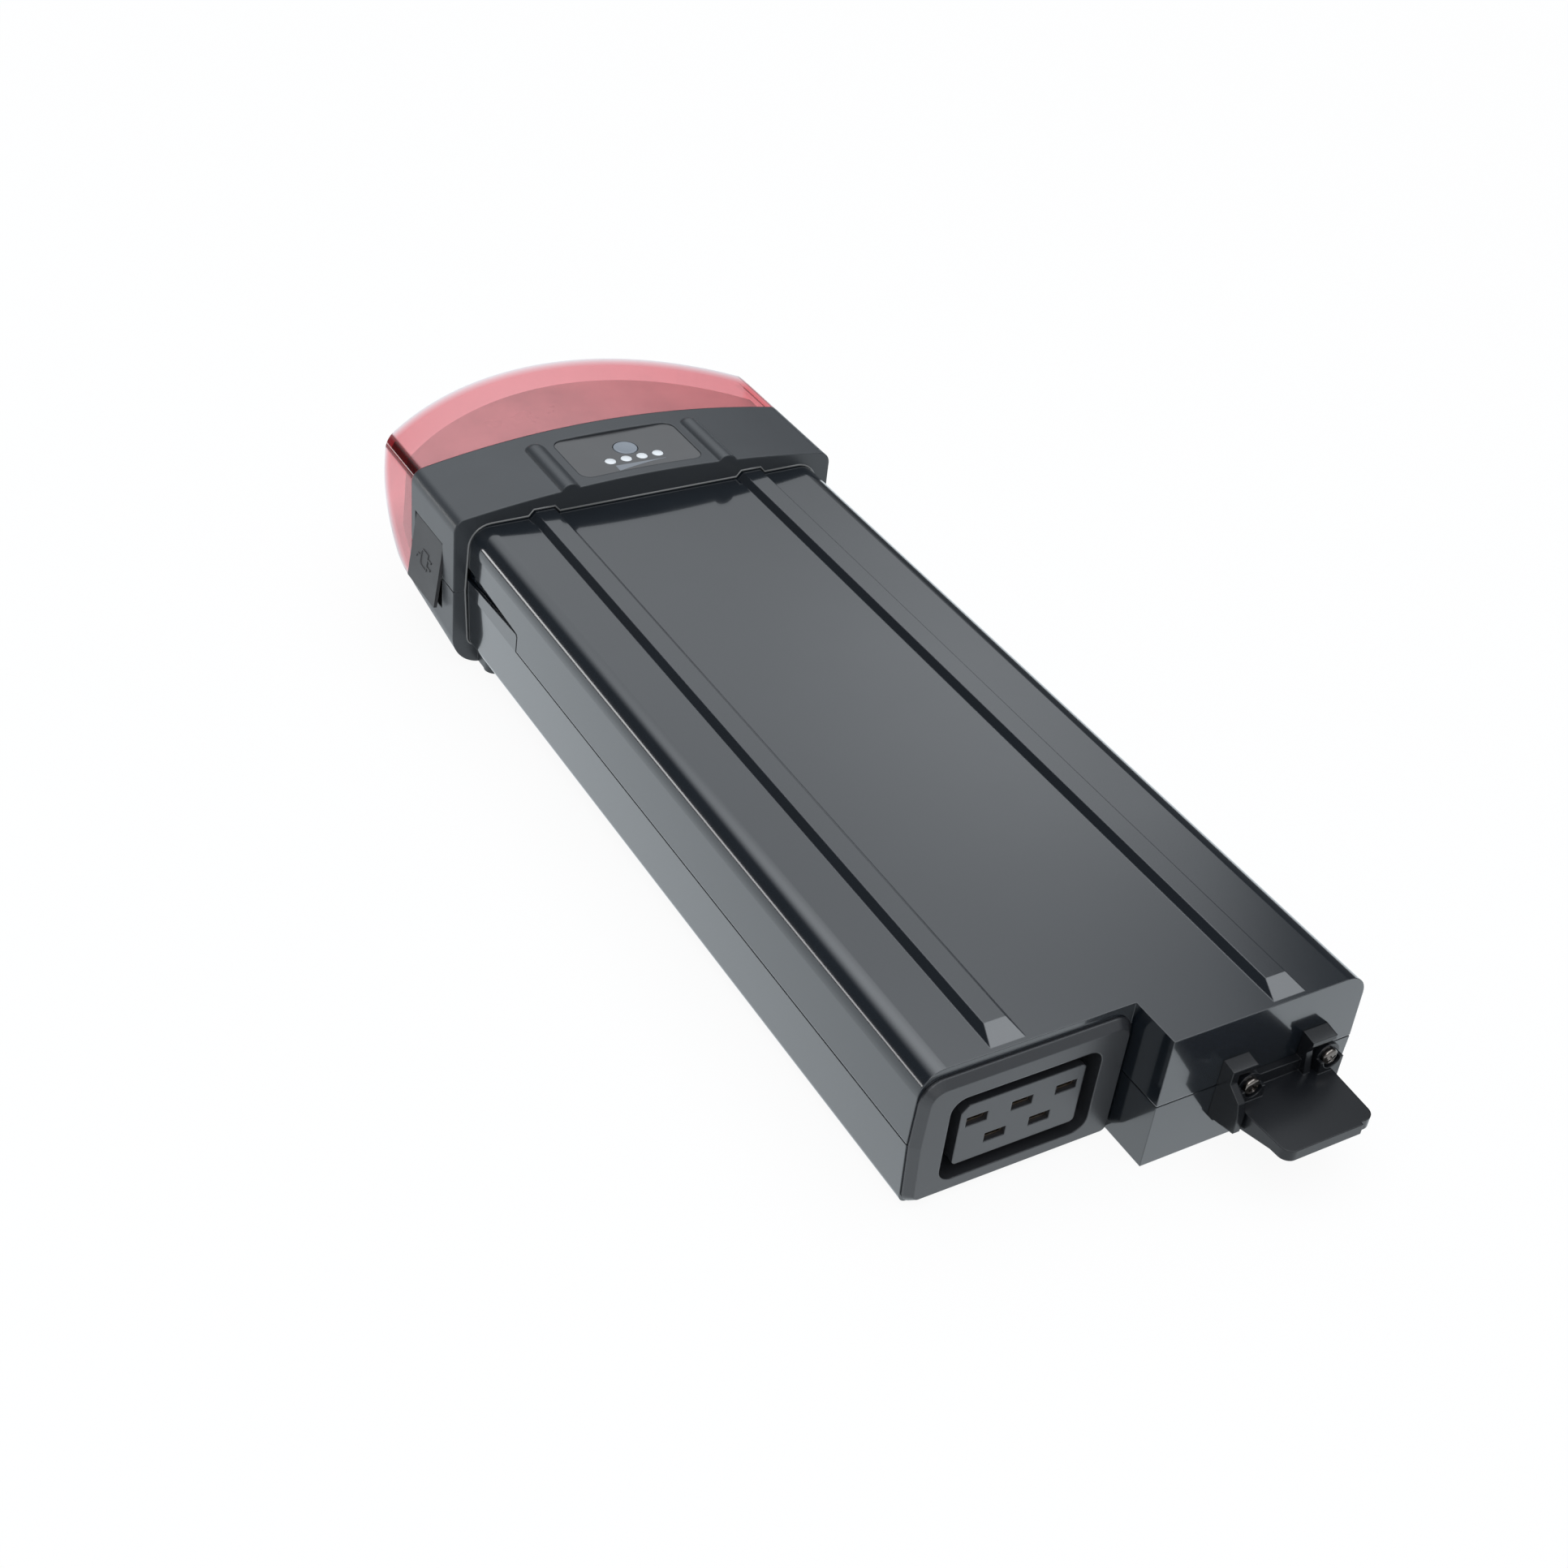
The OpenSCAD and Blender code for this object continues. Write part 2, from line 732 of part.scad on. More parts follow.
module rear_cap_upper() color([0.09, 0.09, 0.095]) difference() {
    union() {
        intersection() {
            cap_walls();
            block([rear_x - form_len, rear_x + over], [-case_w, case_w], [parting_h, form_high]);
        }
        along_z([pad_z, label_z - film_t]) label_outline(pad_edge);
        for (side = [-1, 1]) {
            intersection() {
                tail_form(wall / 2);
                rod_z([cap_boss.x, side * cap_boss.y], boss_r, [parting_h, form_high]);
            }
            rod_z([gauge_boss.x, side * gauge_boss.y], gauge_boss_r, [gauge_top, pad_z + over]);
        }
    }
    along_z([label_z - film_t, form_high]) label_outline(0);
    rod_z([button_x, 0], button_d / 2 + clear, [label_z - film_t - button_well, form_high]);
    rod_z([button_x, 0], stem_r + fit, [pad_z - over, form_high]);
    for (y = gauge_ys()) rod_z([gauge_x, y], gauge_d / 2 + fit, [pad_z - over, form_high]);
    for (side = [-1, 1]) {
        rod_z([cap_boss.x, side * cap_boss.y], pilot_r,
            [parting_h - over, cap_screw_head_z + cap_screw_len + over]);
        rod_z([gauge_boss.x, side * gauge_boss.y], small_screw_r + thread_fit,
            [gauge_top - over, pad_z + pad_t / 2]);
    }
    rod_x([hinge_y, hinge_z], hinge_pin_r + fit / 2,
        around(flap_x, flap_w + 2 * (hinge_pin_len + clear)));
    // Groove along the parting line
    difference() {
        block([rear_x - form_len, rear_x + over], [-case_w, case_w], [parting_h - over, parting_h + groove]);
        tail_form(groove);
    }
}

module rear_cap_lower() color([0.09, 0.09, 0.095]) difference() {
    union() {
        intersection() {
            cap_walls();
            block([rear_x - form_len, rear_x + over], [-case_w, case_w], [form_low, parting_h]);
        }
        for (side = [-1, 1]) {
            intersection() {
                tail_form(wall / 2);
                rod_z([cap_boss.x, side * cap_boss.y], boss_r, [form_low, parting_h]);
            }
            rod_z([lug_x, side * lug_y], lug_r, [-keel_drop, -fit]);
            block([cap_in_x, lug_x], around(side * lug_y, 2 * lug_r), [-keel_drop + groove, -fit]);
        }
    }
    for (side = [-1, 1]) {
        rod_z([cap_boss.x, side * cap_boss.y], screw_hole_r, [form_low, parting_h + over]);
        rod_z([cap_boss.x, side * cap_boss.y], head_hole_r, [form_low, cap_screw_head_z]);
        rod_z([lug_x, side * lug_y], screw_hole_r, [form_low, over]);
        rod_z([lug_x, side * lug_y], head_hole_r, [form_low, -wall]);
    }
}

module cap_screws() color([0.3, 0.3, 0.31]) for (side = [-1, 1]) {
    screw_up([cap_boss.x, side * cap_boss.y], screw_r, cap_screw_len, cap_screw_head_z, head_r, head_h);
    screw_up([lug_x, side * lug_y], screw_r, lug_screw_len, -wall, head_r, head_h);
}

// Room for the charge port housing in the rim of the lens
module port_room() block(around(flap_x, flap_w + 2 * (port_t + 2 * clear)),
    [-case_w, pocket_y + port_t + clear], [flap_low - port_t - 2 * clear, flap_top + port_t + clear]);

// The lens has a rim that slips inside the cap
module tail_lens() color([0.75, 0.05, 0.07]) union() {
    difference() {
        tail_form(0);
        tail_form(lens_t);
        before_seam(seam_gap);
    }
    intersection() {
        difference() {
            tail_form(lens_t / 2);
            tail_form(rim_in);
            before_seam(seam_gap);
        }
        before_seam(rim_back);
    }
    intersection() {
        difference() {
            tail_form(wall + fit);
            tail_form(rim_in);
            before_seam(-rim_front);
            port_room();
        }
        before_seam(rim_back);
    }
}

module tail_inner(d, short) intersection() {
    tail_form(d);
    on_keel() translate([bow_back, 0, 0]) cylinder(h = form_high, r = bow_r - short);
}

// Open boxes in front of and behind the web that carries the tail light board
module tail_housing() color([0.12, 0.12, 0.125]) difference() {
    intersection() {
        tail_inner(housing_in, housing_short);
        block([rear_x - form_len, housing_x], [-case_w, case_w], [form_low, form_high]);
    }
    intersection() {
        tail_form(housing_in + housing_t);
        union() {
            block([web_x, rear_x], [-case_w, case_w], [form_low, form_high]);
            block([rear_x - form_len, tail_board_x], [-case_w, case_w], [form_low, form_high]);
        }
    }
    rod_x([lamp_exit_y, lamp_exit_z], thin_r + fit, [tail_board_x - over, web_x + over]);
}

function tail_lamp_ys() = [for (i = [0 : tail_lamps - 1]) (i - (tail_lamps - 1) / 2) * lamp_pitch];

module tail_board() color([0.1, 0.35, 0.15])
    block([tail_board_x - board_t, tail_board_x], [-tail_board_y, tail_board_y], tail_board_z);

module tail_lamp_row() color([0.95, 0.9, 0.7]) for (y = tail_lamp_ys())
    block([tail_board_x - board_t - lamp_t, tail_board_x - board_t], around(y, lamp_size),
        around(lamp_z, lamp_size));

module tail_reflector() color([0.85, 0.85, 0.86]) difference() {
    block([reflector_x - reflector_len, reflector_x], [-tail_board_y, tail_board_y], tail_board_z);
    for (y = tail_lamp_ys())
        rod_x([y, lamp_z], cup_r, [reflector_x - reflector_len - over, reflector_x + over]);
}

// Display
module display_label() color([0.05, 0.05, 0.055]) difference() {
    along_z([label_z - film_t, label_z]) label_outline(-fit);
    rod_z([button_x, 0], button_d / 2 + clear, [label_z - film_t - over, label_z + over]);
    for (y = gauge_ys()) rod_z([gauge_x, y], gauge_d / 2 + fit, [label_z - film_t - over, label_z + over]);
}

button_low = label_z + button_proud - button_t;
plunger_top = pad_z - fit;
plunger_low = gauge_top + switch_h - plunger_well + button_travel + fit;

module power_button() color([0.62, 0.63, 0.64]) {
    rod_z([button_x, 0], button_d / 2, [button_low, label_z + button_proud]);
    rod_z([button_x, 0], stem_r, [plunger_top, button_low]);
}

module switch_plunger() color([0.1, 0.1, 0.1]) rod_z([button_x, 0], plunger_r, [plunger_low, plunger_top]);

module power_switch() color([0.2, 0.2, 0.2]) difference() {
    block(around(button_x, switch_size), around(0, switch_size), [gauge_top, gauge_top + switch_h]);
    rod_z([button_x, 0], plunger_r + fit, [gauge_top + switch_h - plunger_well, pad_z]);
}

module gauge_light_pipes() color([0.85, 0.87, 0.88]) for (y = gauge_ys())
    rod_z([gauge_x, y], gauge_d / 2, [gauge_top + gauge_lamp_h + pipe_gap, label_z]);

module gauge_lamps() color([0.95, 0.9, 0.7]) for (y = gauge_ys())
    block(around(gauge_x, gauge_lamp_size.x), around(y, gauge_lamp_size.y),
        [gauge_top, gauge_top + gauge_lamp_h]);

module gauge_board() color([0.1, 0.35, 0.15]) difference() {
    block(gauge_board_x, [-gauge_board_y, gauge_board_y], [gauge_board_z, gauge_top]);
    for (side = [-1, 1]) rod_z([gauge_boss.x, side * gauge_boss.y], small_screw_r + fit,
        [gauge_board_z - over, gauge_top + over]);
}

module gauge_board_screws() color([0.3, 0.3, 0.31]) for (side = [-1, 1])
    screw_up([gauge_boss.x, side * gauge_boss.y], small_screw_r, pad_z - gauge_board_z, gauge_board_z,
        small_head_r, small_head_h);

// Charge port. The flap is drawn shut and turned to where it stands
module charge_port_flap() color([0.05, 0.05, 0.05])
    translate([flap_x, hinge_y, hinge_z]) rotate([-flap_ajar, 0, 0]) {
        block(around(0, flap_w), [-hinge_r, hinge_r], [flap_low - hinge_z, 0]);
        rod_x([0, 0], hinge_r, around(0, flap_w));
        rod_x([0, 0], hinge_pin_r, around(0, flap_w + 2 * hinge_pin_len));
    }

module charge_port_housing() color([0.07, 0.07, 0.075]) difference() {
    block(around(flap_x, flap_w + 2 * (clear + port_t)), [-cap_half + wall, pocket_y + port_t],
        [flap_low - clear - port_t, flap_top + port_t]);
    flap_cut([-case_w, pocket_y]);
    rod_y([flap_x, socket_z], socket_body_r + fit, [pocket_y - over, pocket_y + port_t + over]);
}

module charge_socket_shell() color([0.72, 0.72, 0.7]) difference() {
    union() {
        rod_y([flap_x, socket_z], socket_d / 2, [socket_front, pocket_y]);
        rod_y([flap_x, socket_z], socket_body_r, [pocket_y, socket_back]);
        rod_y([flap_x, socket_z], socket_d / 2, [pocket_y + port_t, pocket_y + port_t + nut_t]);
    }
    rod_y([flap_x, socket_z], socket_bore / 2, [socket_front - over, socket_back + over]);
}

function pin_places() = [for (a = pin_angles)
    [flap_x + socket_pin_ring * cos(a), socket_z + socket_pin_ring * sin(a)]];

module charge_socket_insulator() color([0.04, 0.04, 0.04]) difference() {
    rod_y([flap_x, socket_z], socket_bore / 2, [socket_face, socket_back]);
    for (place = pin_places()) rod_y(place, socket_pin_r + thread_fit, [socket_face - over, socket_back + over]);
}

module charge_socket_pins() color([0.75, 0.65, 0.35]) for (place = pin_places())
    rod_y(place, socket_pin_r, [socket_face - port_t, socket_back + port_t]);

// Connector
module connector_outline(w, h, r) translate([conn_y, conn_z]) rounded_rectangle([w, h], r);

module bezel_outline(d) rounded_outline(inset(bezel_points, d), [for (r = bezel_radii) max(r - d, 0)]);

module connector_bezel() color([0.09, 0.09, 0.095]) difference() {
    union() {
        hull() {
            along_x([panel_x, panel_x + bezel_base]) bezel_outline(0, $fn = hull_fn);
            along_x([panel_x, panel_x + bezel_t]) bezel_outline(bezel_bevel, $fn = hull_fn);
        }
        along_x([recess_x - tub_t, panel_x + bezel_base])
            connector_outline(recess_w + 2 * tub_t, recess_h + 2 * tub_t, recess_r + tub_t);
    }
    along_x([recess_x, panel_x + bezel_t + over]) connector_outline(recess_w, recess_h, recess_r);
    along_x([recess_x - tub_t - over, recess_x + over]) block_outline(fit);
    gasket_form();
}

module gasket_form() difference() {
    along_x([panel_x, panel_x + gasket_t])
        connector_outline(recess_w + 2 * (gasket_out + gasket_w), recess_h + 2 * (gasket_out + gasket_w),
            recess_r + gasket_out + gasket_w);
    along_x([panel_x - over, panel_x + gasket_t + over])
        connector_outline(recess_w + 2 * gasket_out, recess_h + 2 * gasket_out, recess_r + gasket_out);
}

module connector_gasket() color([0.15, 0.15, 0.15]) gasket_form();

// The block has one cut corner, so that the plug fits one way only
module block_outline(d) {
    w = block_w / 2 + d;
    h = block_h / 2 + d;
    translate([conn_y, conn_z])
        rounded_outline([[-w, -h], [w, -h], [w, h], [-w + block_key, h], [-w, h - block_key]],
            [block_r, block_r, block_r, 0, 0]);
}

function slot_places() = concat(
    [for (i = [-1 : 1]) [conn_y + i * slot_pitch, conn_z + slot_rows / 2]],
    [for (i = [-0.5 : 0.5]) [conn_y + i * slot_pitch, conn_z - slot_rows / 2]]);

module slot_box(place, x, w, h) block(x, around(place.x, w), around(place.y, h));

module connector_block() color([0.1, 0.1, 0.105]) difference() {
    union() {
        along_x(block_x) block_outline(0);
        along_x([recess_x - tub_t - block_flange, recess_x - tub_t]) block_outline(block_flange);
    }
    for (place = slot_places()) {
        slot_box(place, [block_x[1] - slot_depth, block_x[1] + over], slot_w, slot_h);
        slot_box(place, [block_x[0] - over, block_x[1]], tail_w + 2 * fit, tail_t + 2 * fit);
    }
}

// Each contact is a folded sleeve with a tail for its wire
module connector_contacts() color([0.62, 0.45, 0.25]) for (place = slot_places()) {
    back = block_x[1] - slot_depth;
    difference() {
        slot_box(place, [back, block_x[1] - contact_set_back], slot_w - 2 * fit, slot_h - 2 * fit);
        slot_box(place, [back + contact_leaf, block_x[1]], slot_w - 2 * (fit + contact_leaf),
            slot_h - 2 * (fit + contact_leaf));
    }
    slot_box(place, [tail_end, back], tail_w, tail_t);
}

// Hook bracket: tongue, back plate, cheeks, and a hooded cup for each screw
module tongue_outline() {
    low = hook_y - tongue_w / 2;
    high = hook_y + tongue_w / 2;
    tip = front_x + tongue_reach;
    rounded_outline([[front_x, low], [tip, low + tongue_taper], [tip, high - tip_short],
        [front_x, high - tip_short]], [0, tongue_r, 0, 0]);
    rounded_outline([[front_x, hook_y], [tip - tip_step, hook_y], [tip - tip_step, high - tongue_taper],
        [front_x, high]], [0, 0, tongue_r, 0]);
}

module hooded_cup(y) {
    rod_x([y, hook_screw_z], cup_out_r, [front_x, front_x + cup_len]);
    block([front_x, front_x + cup_len], around(y, 2 * cup_out_r), [tongue_z - tongue_t, hook_screw_z]);
    along_y([y - hood_side, y - hood_side + hood_w]) polygon([[front_x, hood_z - hood_t],
        [front_x, hood_z], [front_x + hood_len, hood_z - hood_fall],
        [front_x + hood_len, hood_z - hood_fall - hood_t]]);
    along_y([y - hood_side, y - hood_side + hood_wall]) polygon([[front_x, tongue_z - tongue_t],
        [front_x, hood_z], [front_x + hood_len, hood_z - hood_fall],
        [front_x + cheek_waist, hood_z - cheek_rise], [front_x + cheek_rise, tongue_z - tongue_t]]);
}

// The tongue thickens to its root between two side walls, and its middle is hollow underneath
module tongue() intersection() {
    along_z([plate_low, tongue_z]) tongue_outline();
    difference() {
        along_y([hook_y - tongue_w, hook_y + tongue_w]) polygon([[front_x, plate_low],
            [front_x + wedge_len, tongue_z - tongue_t], [front_x + tongue_reach + over, tongue_z - tongue_t],
            [front_x + tongue_reach + over, tongue_z], [front_x, tongue_z]]);
        block([front_x + plate_t, front_x + wedge_len],
            around(hook_y, tongue_w - 2 * (tongue_taper + gusset_t)), [plate_low - over, tongue_z - tongue_t]);
    }
}

// The cheek stands out beside the inner cup, down to the slope of the tongue's underside
module cheek(y) along_y([y, y + hood_wall]) polygon([[front_x, plate_low],
    [front_x + cheek_len, plate_low + cheek_len * (tongue_z - tongue_t - plate_low) / wedge_len],
    [front_x + cheek_len, tongue_z], [front_x + cheek_len - cheek_lean, hook_screw_z],
    [front_x + hood_len, hood_z - cheek_rise], [front_x + hood_len, hood_z - hood_fall], [front_x, hood_z]]);

module hook_bracket() color([0.06, 0.06, 0.065]) difference() {
    left = bracket_screw_ys[0] - hood_side;
    union() {
        tongue();
        block([front_x, front_x + plate_t], [left, hook_y + tongue_w / 2], [plate_low, hook_screw_z]);
        block([front_x, front_x + cheek_waist], [left, hook_y], [tongue_z - tongue_t, tongue_z]);
        cheek(left);
        for (y = bracket_screw_ys) hooded_cup(y);
    }
    for (y = bracket_screw_ys) {
        rod_x([y, hook_screw_z], screw_hole_r, [front_x - over, front_x + cup_len + over]);
        rod_x([y, hook_screw_z], head_r + clear, [front_x + cup_back, front_x + cup_len + over]);
        block([front_x + cup_back, front_x + cup_len + over],
            [y - hood_side + hood_wall, y + cup_out_r + over], [hook_screw_z, hood_z - hood_fall - hood_t]);
    }
}

module bracket_screws() color([0.35, 0.34, 0.33]) for (y = bracket_screw_ys) {
    rod_x([y, hook_screw_z], screw_r, [front_x - insert_len + clear, front_x + cup_back]);
    rod_x([y, hook_screw_z], head_r, [front_x + cup_back, front_x + cup_back + head_h]);
}

module bracket_inserts() color([0.72, 0.58, 0.3]) for (y = bracket_screw_ys) difference() {
    rod_x([y, hook_screw_z], insert_r, [front_x - insert_len, front_x]);
    rod_x([y, hook_screw_z], pilot_r, [front_x - insert_len - over, front_x + over]);
}

// A cell stands on its negative end, with a crimp and a raised button at the other
module cell() rotate_extrude() {
    r = cell_d / 2;
    shoulder = cell_len - button_up;
    polygon([[0, 0], [r, 0], [r, shoulder - crimp_at - crimp_w], [r - crimp_in, shoulder - crimp_at - crimp_w],
        [r - crimp_in, shoulder - crimp_at], [r, shoulder - crimp_at], [r, shoulder],
        [button_r, shoulder], [button_r, cell_len], [0, cell_len]]);
}

module each_cell(side) for (i = [0 : row_columns(side) - 1], z = layer_z)
    translate([column_x(i), side * row_gap / 2, z]) rotate([-90 * side, 0, 0]) children();

module cells() color([0.2, 0.35, 0.6]) for (side = [-1, 1]) each_cell(side) cell();

// Two bored plates hold the ends of each row
module cell_holders(side) difference() {
    intersection() {
        case_form(wall + clear, [tuck_x, front_x]);
        for (y = [row_gap / 2, row_end_y - holder_t])
            block([pack_x - holder_edge, row_end_x(side) + holder_edge],
                side > 0 ? [y, y + holder_t] : [-y - holder_t, -y], holder_z);
    }
    each_cell(side) cylinder(h = 2 * case_w, r = cell_d / 2 + cell_fit, center = true);
}

module left_cell_holders() color([0.25, 0.25, 0.26]) cell_holders(-1);
module right_cell_holders() color([0.25, 0.25, 0.26]) cell_holders(1);

// Strips join the cells in groups, with the breaks staggered from end to end
module nickel_strips() color([0.75, 0.73, 0.68])
    for (side = [-1, 1], z = layer_z, end = [0, 1]) {
        face = [row_gap / 2 - strip_t, row_end_y][end];
        first = round(columns * strip_break_shares[end]);
        y = side > 0 ? [face, face + strip_t] : [-face - strip_t, -face];
        for (span = [[0, first - 1], [first, row_columns(side) - 1]])
            block([column_x(span[0]) - strip_w / 2, column_x(span[1]) + strip_w / 2], y, around(z, strip_w));
    }

module insulating_sheets() color([0.35, 0.5, 0.4]) {
    block([pack_x, row_end_x(-1)], around(0, row_gap - 2 * strip_t),
        [holder_z[0] + sheet_edge, holder_z[1] - sheet_edge]);
    for (side = [-1, 1]) {
        y = side * (row_end_y + strip_t);
        block([pack_x, row_end_x(side)], [min(y, y + side * sheet_t), max(y, y + side * sheet_t)],
            [holder_z[0] + sheet_edge, holder_z[1] - sheet_edge]);
    }
}

module foam_pads() color([0.3, 0.3, 0.3]) for (side = [-1, 1], z = [wall, roof_z - foam_t])
    block([pack_x, row_end_x(side)], side > 0 ? foam_y : [-foam_y[1], -foam_y[0]], [z, z + foam_t]);

// Battery board
module battery_board_form(d) block([board_x - d, board_face + d], [board_y[0] - d, board_y[1] + d],
    [wall + clear - d, roof_z - clear + d]);

module battery_board() color([0.1, 0.35, 0.15]) battery_board_form(0);

function mosfet_ys() = [for (i = [0 : mosfets - 1]) mosfet_y + i * mosfet_pitch];

module battery_board_parts() color([0.12, 0.12, 0.12]) {
    for (y = mosfet_ys())
        block([board_face, board_face + mosfet.x], around(y, mosfet.y), around(mosfet_z, mosfet.z));
    for (i = [0 : capacitors - 1])
        rod_x([mosfet_y + i * mosfet_pitch, capacitor_z], capacitor_r, [board_face, board_face + capacitor_len]);
}

module heat_sink() color([0.7, 0.7, 0.72]) {
    back = board_face + mosfet.x;
    ys = [mosfet_y - mosfet.y / 2, mosfet_y + (mosfets - 1) * mosfet_pitch + mosfet.y / 2];
    block([back, back + sink_base], ys, around(mosfet_z, mosfet.z + sink_base));
    for (i = [0 : sink_fins - 1]) {
        y = ys[0] + i * (ys[1] - ys[0] - sink_fin_t) / (sink_fins - 1);
        block([back, back + sink_base + sink_fin], [y, y + sink_fin_t], around(mosfet_z, mosfet.z + sink_base));
    }
}

module main_fuse() color([0.75, 0.55, 0.1]) {
    block([fuse_x, fuse_x + fuse_size.x], around(fuse_y, fuse_size.y), [wall, wall + fuse_size.z]);
    block(around(fuse_x + fuse_size.x / 2, fuse_top.x), around(fuse_y - fuse_top.y / 2, fuse_top.y),
        [wall + fuse_size.z, wall + fuse_size.z + fuse_top.z]);
}

// Wires. Their routes turn at places taken from the pieces that they join
plus_place = slot_places()[3];
minus_place = slot_places()[4];
aisle_gap = 5;
aisle_x = board_face + aisle_gap;
aisle_y = -6;
power_in = 8;
power_y = board_y[0] + power_in;
fuse_lead_z = wall + fuse_size.z / 2;
charge_turn = 4;
charge_step = 2.5;

module power_leads() color([0.7, 0.1, 0.1]) {
    wire([[tail_end, plus_place.x, plus_place.y], [turn_x, plus_place.x, plus_place.y],
        [turn_x, plus_place.x, wall + fuse_size.z]], power_r);
    wire([[tail_end, minus_place.x, minus_place.y], [turn_x, minus_place.x, minus_place.y],
        [turn_x, aisle_y, minus_place.y], [aisle_x, aisle_y, minus_place.y],
        [aisle_x, power_y, minus_place.y], [board_face, power_y, minus_place.y]], power_r);
    wire([[fuse_x + fuse_size.x / 2, fuse_y + fuse_size.y / 2, fuse_lead_z],
        [fuse_x + fuse_size.x / 2, aisle_y, fuse_lead_z], [aisle_x, aisle_y, fuse_lead_z],
        [aisle_x, power_y, fuse_lead_z], [board_face, power_y, fuse_lead_z]], power_r);
}

module charge_leads() color([0.1, 0.1, 0.1]) for (i = [0, 1]) {
    start = pin_places()[2 * i];
    lane = charge_lane_ys[i];
    cross_x = row_end_x(-1) + charge_turn + i * charge_step;
    cross_z = lane_z + (i + 1) * charge_turn;
    y_in = board_y[0] + (i + 1) * charge_turn;
    wire([[start.x, socket_back + port_t, start.y], [start.x, lane, start.y],
        [start.x, lane, lane_z], [cross_x, lane, lane_z], [cross_x, lane, cross_z],
        [cross_x, aisle_y, cross_z], [aisle_x + i * charge_step, aisle_y, cross_z],
        [aisle_x + i * charge_step, y_in, cross_z], [board_face, y_in, cross_z]], thin_r);
}

module lamp_lead() color([0.5, 0.5, 0.5])
    wire([[tail_board_x, lamp_exit_y, lamp_exit_z], [lamp_turn_x, lamp_exit_y, lamp_exit_z],
        [lamp_turn_x, lamp_lane_y, lamp_exit_z], [lamp_turn_x, lamp_lane_y, lane_z],
        [board_x, lamp_lane_y, lane_z]], thin_r);

upper_shell();
lower_shell();
shell_seal();
case_screws();
rear_cap_upper();
rear_cap_lower();
cap_screws();
tail_lens();
tail_housing();
tail_reflector();
tail_board();
tail_lamp_row();
display_label();
power_button();
switch_plunger();
power_switch();
gauge_light_pipes();
gauge_lamps();
gauge_board();
gauge_board_screws();
charge_port_flap();
charge_port_housing();
charge_socket_shell();
charge_socket_insulator();
charge_socket_pins();
connector_bezel();
connector_block();
connector_contacts();
connector_gasket();
hook_bracket();
bracket_screws();
bracket_inserts();
cells();
left_cell_holders();
right_cell_holders();
nickel_strips();
insulating_sheets();
foam_pads();
battery_board();
battery_board_parts();
heat_sink();
main_fuse();
power_leads();
charge_leads();
lamp_lead();
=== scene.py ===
import math
import bmesh
import bpy
from mathutils import Matrix, Vector
from mathutils.geometry import delaunay_2d_cdt


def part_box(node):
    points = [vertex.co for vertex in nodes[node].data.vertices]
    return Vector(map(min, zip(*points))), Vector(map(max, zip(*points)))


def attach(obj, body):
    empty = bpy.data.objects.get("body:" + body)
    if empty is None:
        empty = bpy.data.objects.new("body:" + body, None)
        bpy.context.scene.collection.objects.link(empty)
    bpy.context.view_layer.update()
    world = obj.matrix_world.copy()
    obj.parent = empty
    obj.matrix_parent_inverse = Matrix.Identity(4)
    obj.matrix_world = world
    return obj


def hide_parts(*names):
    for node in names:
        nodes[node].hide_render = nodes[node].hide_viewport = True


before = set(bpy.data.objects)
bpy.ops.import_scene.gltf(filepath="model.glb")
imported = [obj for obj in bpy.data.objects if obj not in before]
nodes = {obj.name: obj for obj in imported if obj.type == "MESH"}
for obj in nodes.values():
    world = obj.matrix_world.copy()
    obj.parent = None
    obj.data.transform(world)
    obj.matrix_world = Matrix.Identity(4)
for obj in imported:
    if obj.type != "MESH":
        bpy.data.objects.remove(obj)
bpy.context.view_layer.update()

# A rear-rack e-bike battery with a built-in tail light. The frame is the CAD's: the case lies
# along X with its connector at the +X end, and Z is up. Lengths are in millimetres unless a
# comment says otherwise, and MM turns them into Blender's metres.
MM = 0.001
collection = bpy.context.scene.collection

# ---------------------------------------------------------------- camera
# fitted to the edges of the case in the photograph
CAMERA_PLACE = Vector((451.9, -336.3, 441.5))
CAMERA_LOOK = Vector((-0.66398, 0.44886, -0.59804))
CAMERA_RIGHT_Z = 0.0995             # Z of the unit vector to the camera's right: its slight roll
FOCAL_PIXELS, FRAME_PIXELS = 2687.2, 1932
SENSOR = 36


def make_camera():
    data = bpy.data.cameras.new("camera")
    cam = bpy.data.objects.new("camera", data)
    collection.objects.link(cam)
    data.sensor_width = SENSOR
    data.lens = SENSOR * FOCAL_PIXELS / FRAME_PIXELS
    data.clip_start, data.clip_end = 0.01, 20       # metres
    look = CAMERA_LOOK.normalized()
    level = look.cross(Vector((0, 0, 1))).normalized()
    up = level.cross(look)
    roll = math.asin(CAMERA_RIGHT_Z / up.z)
    right = level * math.cos(roll) + up * math.sin(roll)
    turn = Matrix((right, right.cross(look), -look)).transposed()
    cam.matrix_world = Matrix.Translation(CAMERA_PLACE * MM) @ turn.to_4x4()
    bpy.context.scene.camera = cam


make_camera()


# ---------------------------------------------------------------- materials
def scaled(colour, factor, lift=0.0):
    """The colour times factor plus lift, at most 1."""
    return tuple(min(1, c * factor + lift) for c in colour)


